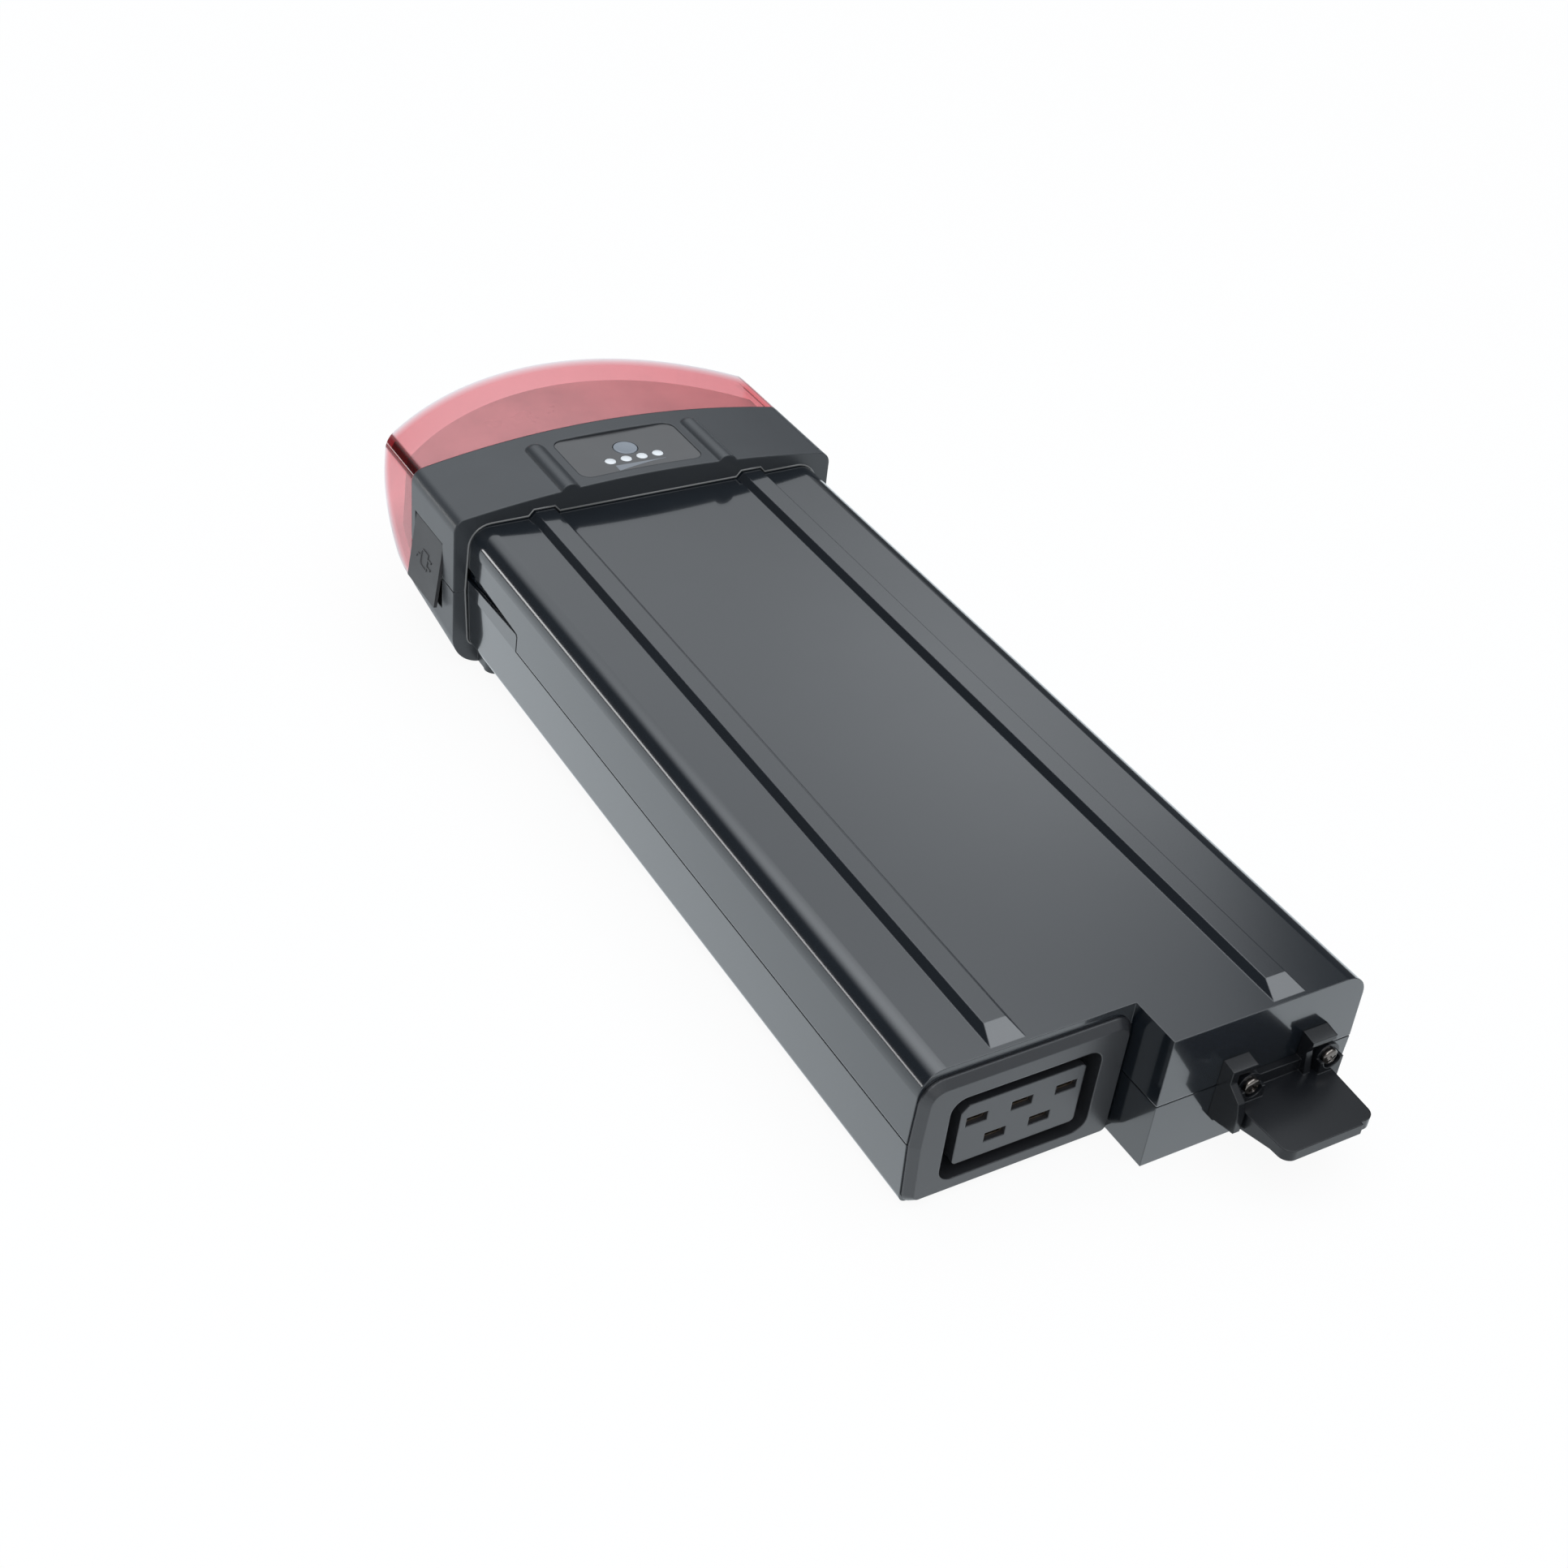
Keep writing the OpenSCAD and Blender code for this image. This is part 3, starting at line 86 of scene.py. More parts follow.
class Mat:
    """A material with short names for the nodes that its recipe adds."""

    def __init__(self, name):
        self.mat = bpy.data.materials.new(name)
        self.mat.use_nodes = True
        self.tree = self.mat.node_tree
        self.shader = self.tree.nodes["Principled BSDF"]
        self.place = self.add("ShaderNodeTexCoord").outputs["Object"]

    def add(self, kind, **values):
        """A new node. A value is one of its settings, or a socket's name with _ for a space."""
        node = self.tree.nodes.new(kind)
        for key, value in values.items():
            if hasattr(node, key):
                setattr(node, key, value)
            else:
                node.inputs[key.replace("_", " ")].default_value = value
        return node

    def link(self, a, b):
        self.tree.links.new(a, b)

    def set(self, **values):
        """Constants, straight on the shader's own sockets."""
        for key, value in values.items():
            self.shader.inputs[key.replace("_", " ")].default_value = value

    def feed(self, **sources):
        """Node outputs into the shader's sockets."""
        for key, source in sources.items():
            self.link(source, self.shader.inputs[key.replace("_", " ")])

    def noise(self, scale, detail=3.0, rough=0.5, stretch=None):
        vector = self.place
        if stretch:
            shape = self.add("ShaderNodeMapping", Scale=stretch)
            self.link(vector, shape.inputs["Vector"])
            vector = shape.outputs["Vector"]
        node = self.add("ShaderNodeTexNoise", Scale=scale, Detail=detail, Roughness=rough)
        self.link(vector, node.inputs["Vector"])
        return node.outputs["Fac"]

    def ramp(self, value, *stops):
        """stops: (position, colour), rising."""
        node = self.add("ShaderNodeValToRGB")
        ramp = node.color_ramp
        while len(ramp.elements) < len(stops):
            ramp.elements.new(0.5)
        for element, (at, colour) in zip(ramp.elements, stops):
            element.position = at
            element.color = (*colour, 1)
        self.link(value, node.inputs["Fac"])
        return node.outputs["Color"]

    def range(self, value, low, high, out_low, out_high):
        node = self.add("ShaderNodeMapRange", From_Min=low, From_Max=high,
                        To_Min=out_low, To_Max=out_high)
        self.link(value, node.inputs["Value"])
        return node.outputs["Result"]

    def sway(self, noise, low, high):
        """The middle of a noise, where it nearly always is, spread from low to high."""
        return self.range(noise, 0.3, 0.7, low, high)

    def math(self, operation, a, b):
        node = self.add("ShaderNodeMath", operation=operation)
        for socket, value in zip(node.inputs, (a, b)):
            if isinstance(value, (int, float)):
                socket.default_value = value
            else:
                self.link(value, socket)
        return node.outputs[0]

    def mix(self, factor, a, b):
        """Colour a where factor is 0, colour b where it is 1."""
        node = self.add("ShaderNodeMix", data_type="RGBA")
        for socket, value in ((node.inputs[0], factor), (node.inputs[6], a), (node.inputs[7], b)):
            if isinstance(value, tuple):
                socket.default_value = (*value, 1)
            else:
                self.link(value, socket)
        return node.outputs[2]

    def blend(self, factor, a, b):
        """Shader a where factor is 0, shader b where it is 1."""
        node = self.add("ShaderNodeMixShader")
        for socket, source in zip(node.inputs, (factor, a.outputs[0], b.outputs[0])):
            self.link(source, socket)
        return node

    def out(self, **shaders):
        for key, node in shaders.items():
            self.link(node.outputs[0], self.tree.nodes["Material Output"].inputs[key])

    def bump(self, *layers, edge=0):
        """layers: (height, depth in metres, strength). edge: radius that edges seem moulded to."""
        normal = None
        if edge:
            bevel = self.add("ShaderNodeBevel", samples=6, Radius=edge * MM)
            normal = bevel.outputs["Normal"]
        for height, depth, strength in layers:
            node = self.add("ShaderNodeBump", Distance=depth, Strength=strength)
            self.link(height, node.inputs["Height"])
            if normal:
                self.link(normal, node.inputs["Normal"])
            normal = node.outputs["Normal"]
        self.feed(Normal=normal)
        return normal


def plastic(name, colour, rough, grain=0.1, grain_scale=2600, spread=0.04, level=0.5,
            coat=0.0, coat_rough=0.1, scuff=0.0, cloud=0.08, edge=0.0):
    """Moulded plastic: mould grain, faint flow clouds, uneven gloss, slight waves, light scuffs.

    grain, scuff: strengths. spread, cloud: how far the roughness and the colour wander.
    level: the shader's specular level. edge: radius that edges seem moulded to.
    """
    m = Mat(name)
    clouds = m.noise(scale=34, detail=4, rough=0.55)
    base = m.ramp(clouds, (0.3, scaled(colour, 1 - cloud)), (0.7, scaled(colour, 1 + cloud)))
    gloss = m.sway(m.noise(scale=21, detail=5, rough=0.6), rough - spread, rough + spread)
    fine = m.noise(scale=grain_scale, detail=2, rough=0.6)
    if scuff:
        marks = m.range(m.noise(scale=520, detail=3, rough=0.8), 0.70, 0.76, 0, scuff)
        patch = m.range(m.noise(scale=30), 0.48, 0.66, 0, 1)
        mark = m.math("MULTIPLY", marks, patch)
        base = m.mix(mark, base, scaled(colour, 3, 0.03))
        gloss = m.math("ADD", gloss, m.math("MULTIPLY", mark, 0.2))
    m.feed(Base_Color=base, Roughness=gloss)
    m.set(Specular_IOR_Level=level, IOR=1.5, Coat_Weight=coat, Coat_Roughness=coat_rough)
    waves = m.noise(scale=75, detail=2)
    normal = m.bump((fine, 0.00006, grain), (waves, 0.00025, 0.02), edge=edge)
    if coat:
        m.feed(Coat_Normal=normal)
    return m.mat


def metal(name, colour, rough, brush=(1, 1, 1), tarnish=0.15, tint=None):
    """Metal with fine lines and tarnished spots.

    brush: how close the lines lie along X, Y and Z, small where they run long. tarnish: how much
    darker the spots are. tint: their colour, where it isn't just darker.
    """
    m = Mat(name)
    spots = m.noise(scale=420, detail=4, rough=0.65)
    lines = m.noise(scale=900, detail=3, rough=0.7, stretch=brush)
    m.feed(Base_Color=m.ramp(spots, (0.35, colour), (0.75, tint or scaled(colour, 1 - tarnish))),
           Roughness=m.sway(lines, rough - 0.07, rough + 0.09))
    m.set(Metallic=1.0)
    m.bump((lines, 0.00004, 0.12))
    return m.mat


def rubber(name, colour, rough):
    """Matt rubber with a fine skin and pale dust in its pores."""
    m = Mat(name)
    base = m.ramp(m.noise(scale=60, detail=4), (0.3, scaled(colour, 0.85)),
                  (0.75, scaled(colour, 1.2)))
    dust = m.range(m.noise(scale=1500, detail=2, rough=0.7), 0.66, 0.78, 0, 0.35)
    m.feed(Base_Color=m.mix(dust, base, scaled(colour, 2.2, 0.02)),
           Roughness=m.sway(m.noise(scale=40, detail=4), rough - 0.06, rough + 0.08))
    m.set(Specular_IOR_Level=0.5)
    skin = m.noise(scale=2100, detail=2, rough=0.6)
    waves = m.noise(scale=150, detail=2)
    m.bump((skin, 0.00008, 0.16), (waves, 0.0002, 0.04))
    return m.mat


def clear(name, dye, density, haze, painted_edge_shade):
    """Clear plastic dyed through, with painted shade, a dark red, along its long edges, and a
    faint flat bloom.

    dye, density: of the plastic inside. haze: how much of a flat face is clouded. Last: the
    colour of painted shade on the edges round its two ends, full at the flap's end, weaker at the
    other.
    """
    m = Mat(name)
    gloss = m.sway(m.noise(scale=30, detail=5, rough=0.6), 0.012, 0.036)
    flow = m.ramp(m.noise(scale=14), (0.3, (0.985, 0.945, 0.95)), (0.7, (1.0, 0.975, 0.98)))

    # how squarely a face looks along X, Y or Z: 1 on the flat faces, less on the edges
    facing = m.add("ShaderNodeTexCoord").outputs["Normal"]
    size = m.add("ShaderNodeVectorMath", operation="ABSOLUTE")
    m.link(facing, size.inputs[0])
    signed, plain = (m.add("ShaderNodeSeparateXYZ") for _ in range(2))
    m.link(facing, signed.inputs[0])
    m.link(size.outputs[0], plain.inputs[0])
    x, y, z = plain.outputs
    flat = m.math("MAXIMUM", m.math("MAXIMUM", x, y), z)
    # painted shade: edges between side and top faces take the dark edge colour, fully where they
    # face -Y
    edge = m.range(m.math("MULTIPLY", y, z), 0.16, 0.28, 0, 1)
    edge = m.math("MULTIPLY", edge, m.range(signed.outputs[1], -0.3, 0.3, 1, 0.35))

    m.feed(Roughness=gloss, Transmission_Weight=m.range(flat, 0.8, 0.97, 1.0, 1.0 - haze),
           Base_Color=m.mix(edge, flow, painted_edge_shade))
    # hardly any refraction, so that no edge turns grey; the coat gives the gloss, and the dark of
    # the edges is painted shade in the base colour
    m.set(IOR=1.02, Coat_Weight=1.0, Coat_IOR=1.5, Coat_Roughness=0.05)
    m.bump((m.noise(scale=60, detail=2), 0.0002, 0.02))
    path = m.add("ShaderNodeLightPath")
    let = m.add("ShaderNodeBsdfTransparent", Color=(0.93, 0.91, 0.91, 1))
    m.out(Surface=m.blend(path.outputs["Is Shadow Ray"], m.shader, let),
          Volume=m.add("ShaderNodeVolumeAbsorption", Color=(*dye, 1), Density=density))
    return m.mat


def board(name):
    """Circuit board: green mask over faint copper tracks."""
    m = Mat(name)
    mask, track = (0.012, 0.10, 0.035), (0.02, 0.17, 0.055)
    tracks = m.noise(scale=300, detail=2, stretch=(1, 1, 4))
    m.feed(Base_Color=m.ramp(tracks, (0.42, mask), (0.5, track), (0.56, mask)),
           Roughness=m.sway(m.noise(scale=200), 0.3, 0.45))
    m.bump((tracks, 0.00004, 0.2))
    return m.mat


def open_foam(name, colour):
    """Dull foam, with painted shade in its open pores."""
    m = Mat(name)
    pores_and_shade = m.noise(scale=1400, detail=3, rough=0.7)
    # painted shade: darker where the pore noise is low, where the bump sinks the surface
    m.feed(Base_Color=m.ramp(pores_and_shade, (0.35, scaled(colour, 0.6)), (0.65, colour)),
           Roughness=m.sway(pores_and_shade, 0.8, 0.9))
    m.bump((pores_and_shade, 0.0003, 0.4))
    return m.mat


def label_film(name):
    """Satin film, a little uneven where it is glued down."""
    m = Mat(name)
    base = m.ramp(m.noise(scale=50), (0.3, (0.046, 0.046, 0.048)), (0.7, (0.053, 0.053, 0.055)))
    m.feed(Base_Color=base, Roughness=m.sway(m.noise(scale=60, detail=4), 0.3, 0.38))
    m.set(Coat_Weight=0.8, Coat_Roughness=0.25)
    m.bump((m.noise(scale=2600, detail=2), 0.00004, 0.05),
           (m.noise(scale=60, detail=2), 0.0002, 0.02))
    return m.mat


# the case, seen from outside
shell = plastic("shell_plastic", (0.007, 0.010, 0.014), 0.16, grain=0.02, grain_scale=3000,
                spread=0.03, coat=1.0, coat_rough=0.06, scuff=0.3, edge=0.4)
cap = plastic("cap_plastic", (0.034, 0.038, 0.043), 0.4, grain=0.14, grain_scale=2300,
              spread=0.03, coat=0.3, coat_rough=0.26, edge=0.8)
bracket = plastic("bracket_plastic", (0.007, 0.008, 0.010), 0.24, grain=0.03, spread=0.03,
                  level=0.4, coat=0.15, coat_rough=0.14, scuff=0.2, edge=0.5)
bezel = plastic("bezel_plastic", (0.020, 0.021, 0.024), 0.36, grain=0.12, grain_scale=2300,
                spread=0.03, coat=0.6, coat_rough=0.28, edge=0.6)
# light grey: a painted highlight line round the cap's opening
bead = plastic("bead_painted_highlight", (0.14, 0.14, 0.138), 0.2, grain=0.02, coat=1.0)
flap_rubber = rubber("flap_rubber", (0.042, 0.042, 0.044), 0.42)
# the tail light and the gauge
# the lens: the dark red of its edges is painted shade
lens = clear("lens_red", dye=(0.94, 0.0, 0.05), density=145, haze=0.035, painted_edge_shade=(0.07, 0.002, 0.003))
housing = plastic("housing_plastic", (0.36, 0.33, 0.34), 0.3, grain=0.08, cloud=0.2)
mirror = plastic("reflector_coating", (0.76, 0.76, 0.78), 0.22, grain=0.03, coat=1.0)
lamp = plastic("lamp_resin", (0.75, 0.7, 0.5), 0.2, grain=0.03)
film = label_film("label_film")
pipe = plastic("light_pipe", (0.72, 0.74, 0.76), 0.3, grain=0.03, coat=0.6)
button_grey = plastic("button_plastic", (0.20, 0.225, 0.26), 0.32, grain=0.05, coat=0.4)
print_grey = plastic("print_grey", (0.17, 0.185, 0.21), 0.35, grain=0.03, coat=0.6)
# metals
steel = metal("dark_nickel", (0.25, 0.225, 0.205), 0.17, tarnish=0.4)
nickel = metal("bright_nickel", (0.72, 0.70, 0.64), 0.25, brush=(0.1, 3, 3))
plated = metal("plated_brass", (0.66, 0.66, 0.63), 0.24)
gold = metal("gold_plate", (0.86, 0.68, 0.34), 0.25)
tinned = metal("tinned_brass", (0.30, 0.25, 0.20), 0.42, tint=(0.18, 0.12, 0.07))
brass = metal("brass", (0.72, 0.54, 0.24), 0.3)
alloy = metal("alloy", (0.66, 0.67, 0.69), 0.35, brush=(0.1, 2, 2))
# what is inside
dark = plastic("dark_plastic", (0.02, 0.02, 0.021), 0.5, grain=0.12)
holder = plastic("holder_plastic", (0.16, 0.16, 0.17), 0.5)
part = plastic("part_resin", (0.03, 0.03, 0.03), 0.35)
fuse = plastic("fuse_plastic", (0.6, 0.36, 0.05), 0.3, grain=0.05)
lead = plastic("lead_sleeve", (0.4, 0.03, 0.03), 0.4, grain=0.05)
grey_lead = plastic("grey_lead_sleeve", (0.08, 0.08, 0.085), 0.42, grain=0.05)
sheet = plastic("sheet_paper", (0.2, 0.34, 0.25), 0.6, grain=0.2)
cell = plastic("cell_sleeve", (0.03, 0.10, 0.22), 0.28, grain=0.03)
black_rubber = rubber("black_rubber", (0.022, 0.0225, 0.024), 0.5)
foam = open_foam("foam", (0.09, 0.09, 0.095))
green = board("circuit_board")

LOOKS = {
    "upper_shell": shell, "lower_shell": shell, "shell_seal": black_rubber, "case_screws": steel,
    "rear_cap_upper": cap, "rear_cap_lower": cap, "cap_screws": steel, "tail_lens": lens,
    "tail_housing": housing, "tail_reflector": mirror, "tail_board": green,
    "tail_lamp_row": lamp, "display_label": film, "power_button": button_grey,
    "switch_plunger": dark, "power_switch": dark, "gauge_light_pipes": pipe,
    "gauge_lamps": lamp, "gauge_board": green, "gauge_board_screws": steel,
    "charge_port_flap": flap_rubber, "charge_port_housing": dark, "charge_socket_shell": plated,
    "charge_socket_insulator": dark, "charge_socket_pins": gold, "connector_bezel": bezel,
    "connector_block": bezel, "connector_contacts": tinned, "connector_gasket": black_rubber,
    "hook_bracket": bracket, "bracket_screws": steel, "bracket_inserts": brass, "cells": cell,
    "left_cell_holders": holder, "right_cell_holders": holder, "nickel_strips": nickel,
    "insulating_sheets": sheet, "foam_pads": foam, "battery_board": green,
    "battery_board_parts": part, "heat_sink": alloy, "main_fuse": fuse, "power_leads": lead,
    "charge_leads": grey_lead, "lamp_lead": grey_lead,
}
for name, look in LOOKS.items():
    mesh = nodes[name].data
    mesh.materials.clear()
    mesh.materials.append(look)


# ---------------------------------------------------------------- mesh tools
def new_object(name, bm, material, body, angle):
    """The finished piece on its body. Edges that turn more than angle degrees stay sharp."""
    mesh = bpy.data.meshes.new(name)
    bm.normal_update()
    for face in bm.faces:
        face.smooth = True
    for edge in bm.edges:
        gentle = edge.calc_face_angle(0) < math.radians(angle)
        edge.smooth = len(edge.link_faces) == 2 and gentle
    bm.to_mesh(mesh)
    bm.free()
    mesh.materials.append(material)
    o = bpy.data.objects.new(name, mesh)
    collection.objects.link(o)
    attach(o, body)
    return o


def corners(name):
    """Lowest and highest corner of a CAD node."""
    low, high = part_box(name)
    return [v / MM for v in low], [v / MM for v in high]


def place(x, y, z, turn=(0, 0, 1)):
    """From local millimetres to metres: the local origin at x, y, z, the local Z along turn."""
    spin = Vector(turn).to_track_quat("Z", "Y").to_matrix().to_4x4()
    return Matrix.Scale(MM, 4) @ Matrix.Translation((x, y, z)) @ spin


def circle(r, count):
    turns = (2 * math.pi * i / count for i in range(count))
    return [(r * math.cos(a), r * math.sin(a)) for a in turns]


def arc(x, y, r, start, end, count=8):
    """count + 1 points about x, y, from start to end in degrees."""
    turns = (math.radians(start + (end - start) * i / count) for i in range(count + 1))
    return [(x + r * math.cos(a), y + r * math.sin(a)) for a in turns]


def lathe(bm, matrix, profile, count):
    """A turned form from (radius, height) pairs, closed where the radius is 0."""
    last = None
    for r, h in profile:
        points = circle(r, count) if r else [(0, 0)]
        now = [bm.verts.new(matrix @ Vector((x, y, h))) for x, y in points]
        if last:
            for i in range(count):
                j = (i + 1) % count
                quad = [last[i % len(last)], last[j % len(last)],
                        now[j % len(now)], now[i % len(now)]]
                face = list(dict.fromkeys(quad))
                if len(face) > 2:
                    bm.faces.new(face)
        last = now


def skin(bm, rows, closed=False):
    """Faces from row to row, each row a loop of vertices. The ends of an open run are capped."""
    count = len(rows[0])
    for one, two in zip(rows, rows[1:] + rows[:1] if closed else rows[1:]):
        for i in range(count):
            j = (i + 1) % count
            bm.faces.new([one[i], one[j], two[j], two[i]])
    if not closed:
        bm.faces.new(rows[0][::-1])
        bm.faces.new(rows[-1])
    bmesh.ops.recalc_face_normals(bm, faces=bm.faces)


def direction(points, i, closed=False):
    """The unit direction of a flat line at its point i."""
    a = points[i - 1] if closed or i else points[i]
    b = points[(i + 1) % len(points)] if closed or i < len(points) - 1 else points[i]
    return Vector((b[0] - a[0], b[1] - a[1])).normalized()


def strip(bm, matrix, points, width, height, closed=False):
    """A low raised bar with sloped sides that follows a flat line of points."""
    rows = []
    for i, point in enumerate(points):
        along = direction(points, i, closed)
        side = Vector((-along.y, along.x))
        row = []
        for share, h in ((-0.5, -0.1), (-0.3, height), (0.3, height), (0.5, -0.1)):
            p = Vector(point) + side * share * width
            row.append(bm.verts.new(matrix @ Vector((p.x, p.y, h))))
        rows.append(row)
    skin(bm, rows, closed)


# ---------------------------------------------------------------- screws
THREAD_R, THREAD_PITCH = 1.5, 0.5
HEAD_R, HEAD_H, HEAD_SIDES = 2.8, 1.8, 32
# the cross recess in shares of the head's radius: length and half width of its arms
RECESS_TOP, RECESS_FOOT = (0.56, 0.13), (0.2, 0.09)
DOME_RINGS = (1, 0.975, 0.93, 0.85, 0.74)


def turned(x, y, angle):
    c, s = math.cos(angle), math.sin(angle)
    return x * c - y * s, x * s + y * c


def cross(arm, half, twist):
    points = [(arm, -half), (arm, half), (half, half), (half, arm), (-half, arm), (-half, half),
              (-arm, half), (-arm, -half), (-half, -half), (-half, -arm), (half, -arm),
              (half, -half)]
    return [turned(x, y, twist) for x, y in points]


def screw(bm, matrix, length, head_r, twist):
    """A pan-head screw with its seat at local 0, its head up, a cross recess and a thread."""
    r, step = THREAD_R, THREAD_PITCH
    h = -length + step
    profile = [(0, -length), (r * 0.6, -length), (r * 0.86, h)]
    while h + 2 * step < -step:
        profile += [(r, h + step * 0.5), (r * 0.82, h + step)]
        h += step
    profile += [(r * 0.9, 0), (head_r * 0.95, 0), (head_r, HEAD_H * 0.12), (head_r, HEAD_H * 0.4)]
    lathe(bm, matrix, profile, HEAD_SIDES)

    arm, half = (head_r * share for share in RECESS_TOP)

    def dome(x, y):
        q = min(1, math.hypot(x, y) / head_r)
        return HEAD_H * (0.4 + 0.6 * math.sqrt(max(0, 1 - q * q * 0.999)) ** 0.8)

    def in_recess(p):
        x, y = (abs(v) for v in turned(p[0], p[1], -twist))
        return max(x, y) < arm and min(x, y) < half

    # the domed top: rings and the cross's outline, meshed flat, lifted, without the cross
    points, edges = [], []
    outline = cross(arm, half, twist)
    for loop in [circle(share * head_r, HEAD_SIDES) for share in DOME_RINGS] + [outline]:
        first, count = len(points), len(loop)
        points += [Vector(p) for p in loop]
        edges += [(first + i, first + (i + 1) % count) for i in range(count)]
    flat, _, faces, *_ = delaunay_2d_cdt(points, edges, [], 0, 1e-6)
    verts = [bm.verts.new(matrix @ Vector((p.x, p.y, dome(p.x, p.y)))) for p in flat]
    for face in faces:
        middle = sum((flat[i] for i in face), Vector((0, 0))) / len(face)
        if not in_recess(middle):
            bm.faces.new([verts[i] for i in face])

    # the recess narrows to its foot
    low = cross(*(head_r * share for share in RECESS_FOOT), twist)
    top = [bm.verts.new(matrix @ Vector((x, y, dome(x, y)))) for x, y in outline]
    foot = [bm.verts.new(matrix @ Vector((x, y, HEAD_H * 0.25))) for x, y in low]
    for i in range(len(top)):
        j = (i + 1) % len(top)
        bm.faces.new([top[j], top[i], foot[i], foot[j]])
    bm.faces.new(foot[::-1])
    bmesh.ops.remove_doubles(bm, verts=bm.verts, dist=1e-7)


def screw_set(name, screws, head=(0, 0, -1), head_r=HEAD_R):
    """screws: (x, y, z of the seat, length, twist of the recess). head: the way the heads face."""
    bm = bmesh.new()
    for x, y, z, length, twist in screws:
        screw(bm, place(x, y, z, head), length, head_r, twist)
    return new_object(name, bm, steel, "battery", 40)


def make_screws():
    # the bracket's two, from the front
    low, high = corners("bracket_screws")
    r, middle, seat = (high[2] - low[2]) / 2, (high[2] + low[2]) / 2, high[0] - HEAD_H
    o = screw_set("cross_bracket_screws", [(seat, low[1] + r, middle, seat - low[0], 0.35),
                                           (seat, high[1] - r, middle, seat - low[0], 0.62)],
                  head=(1, 0, 0), head_r=r)
    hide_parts("bracket_screws")

    # the case's four, from below: two near its front end, two before the cap
    low, high = corners("case_screws")
    seat, rear = low[2] + HEAD_H, low[0] + HEAD_R
    spots = (high[0] - HEAD_R, 43.9), (118, low[1] + HEAD_R), (rear, 44), (rear, -44)
    o = screw_set("cross_case_screws", [(x, y, seat, high[2] - seat, 0.3 + 0.5 * i)
                                        for i, (x, y) in enumerate(spots)])
    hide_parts("case_screws")

    # the cap's four, from below: two long ones under the display, two short ones in the lugs
    low, high = corners("cap_screws")
    long, short = 30, 13
    screws = []
    for i, side in enumerate((-1, 1)):
        screws.append((low[0] + HEAD_R, side * 34, high[2] - long, long, 0.2 + i))
        screws.append((high[0] - HEAD_R, side * (high[1] - HEAD_R), low[2] + HEAD_H, short,
                       0.7 + i))
    o = screw_set("cross_cap_screws", screws)
    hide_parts("cap_screws")


# ---------------------------------------------------------------- display
def upright(name):
    """A round upright node, or a row of them along Y: middle and radius along X, corners."""
    low, high = corners(name)
    return (low[0] + high[0]) / 2, (high[0] - low[0]) / 2, low, high


def make_button():
    """A dished round key with a rolled edge, on its stem."""
    x, r, low, high = upright("power_button")
    foot, top = low[2], high[2]
    skirt, stem = top - 0.8, 1.8
    profile = [(0, top - 0.1), (r * 0.4, top - 0.09), (r * 0.75, top - 0.04),
               (r - 0.5, top - 0.01), (r - 0.3, top - 0.02), (r - 0.12, top - 0.08),
               (r - 0.02, top - 0.2), (r, top - 0.34), (r, skirt), (stem, skirt), (stem, foot),
               (0, foot)]
    bm = bmesh.new()
    lathe(bm, place(x, 0, 0), profile, 64)
    o = new_object("round_button", bm, button_grey, "button", 35)
    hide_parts("power_button")


def make_gauge():
    """Four domed light pipes, and the printed wedge that grows towards the full end."""
    x, r, low, high = upright("gauge_light_pipes")
    foot, top = low[2], high[2]
    profile = [(0, top + 0.22), (r * 0.3, top + 0.21), (r * 0.6, top + 0.16),
               (r * 0.85, top + 0.07), (r * 0.96, top), (r, top - 0.1), (r, foot), (0, foot)]
    bm = bmesh.new()
    for i in range(4):
        y = low[1] + r + i * (high[1] - low[1] - 2 * r) / 3
        lathe(bm, place(x, y, 0), profile, 40)
    o = new_object("gauge_domes", bm, pipe, "battery", 35)
    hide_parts("gauge_light_pipes")

    face = corners("display_label")[1][2]
    ink = face + 0.03
    start, length, steps = 10.8, 20.1, 24
    bm = bmesh.new()
    rows = []
    for i in range(steps + 1):
        t = i / steps
        y = start - length * t
        near = x + 4.1 - 0.45 * t
        far = near + 0.25 + 3.6 * t ** 1.5
        outline = (near, y, face), (near, y, ink), (far, y, ink), (far, y, face)
        rows.append([bm.verts.new(Vector(p) * MM) for p in outline])
    skin(bm, rows)
    new_object("gauge_wedge", bm, print_grey, "battery", 35)


# ---------------------------------------------------------------- flap sign, bead of the cap
FLAP_HINGE, FLAP_OPEN = (-177.5, -75.05, 36.15), 8      # the hinge's axis, degrees open at rest
SIGN_MIDDLE = (0, -0.65, -12.6)                         # on the flap's face, from the hinge


def make_plug_sign():
    """A generic plug, drawn in raised outline on the flap, which stands a little open."""
    hinge = Matrix.Translation(FLAP_HINGE) @ Matrix.Rotation(math.radians(-FLAP_OPEN), 4, "X")
    face = Matrix.Translation(SIGN_MIDDLE) @ Matrix.Rotation(math.radians(90), 4, "X")
    matrix = Matrix.Scale(MM, 4) @ hinge @ face
    body = arc(-1.8, 1.6, 1.6, 90, 180) + arc(-1.8, -1.6, 1.6, 180, 270)
    body += [(2.2, -3.2), (2.2, 3.2)]
    cable = [(-3.7, 0), (-5.2, 0)] + arc(-5.2, -1.9, 1.9, 90, 180)
    line, prong, height = 0.8, 0.9, 0.3
    bm = bmesh.new()
    strip(bm, matrix, body, line, height, closed=True)
    for y in (-1.5, 1.5):
        strip(bm, matrix, [(2.5, y), (5.4, y)], prong, height)
    strip(bm, matrix, cable, line, height)
    new_object("plug_sign", bm, flap_rubber, "flap", 35)


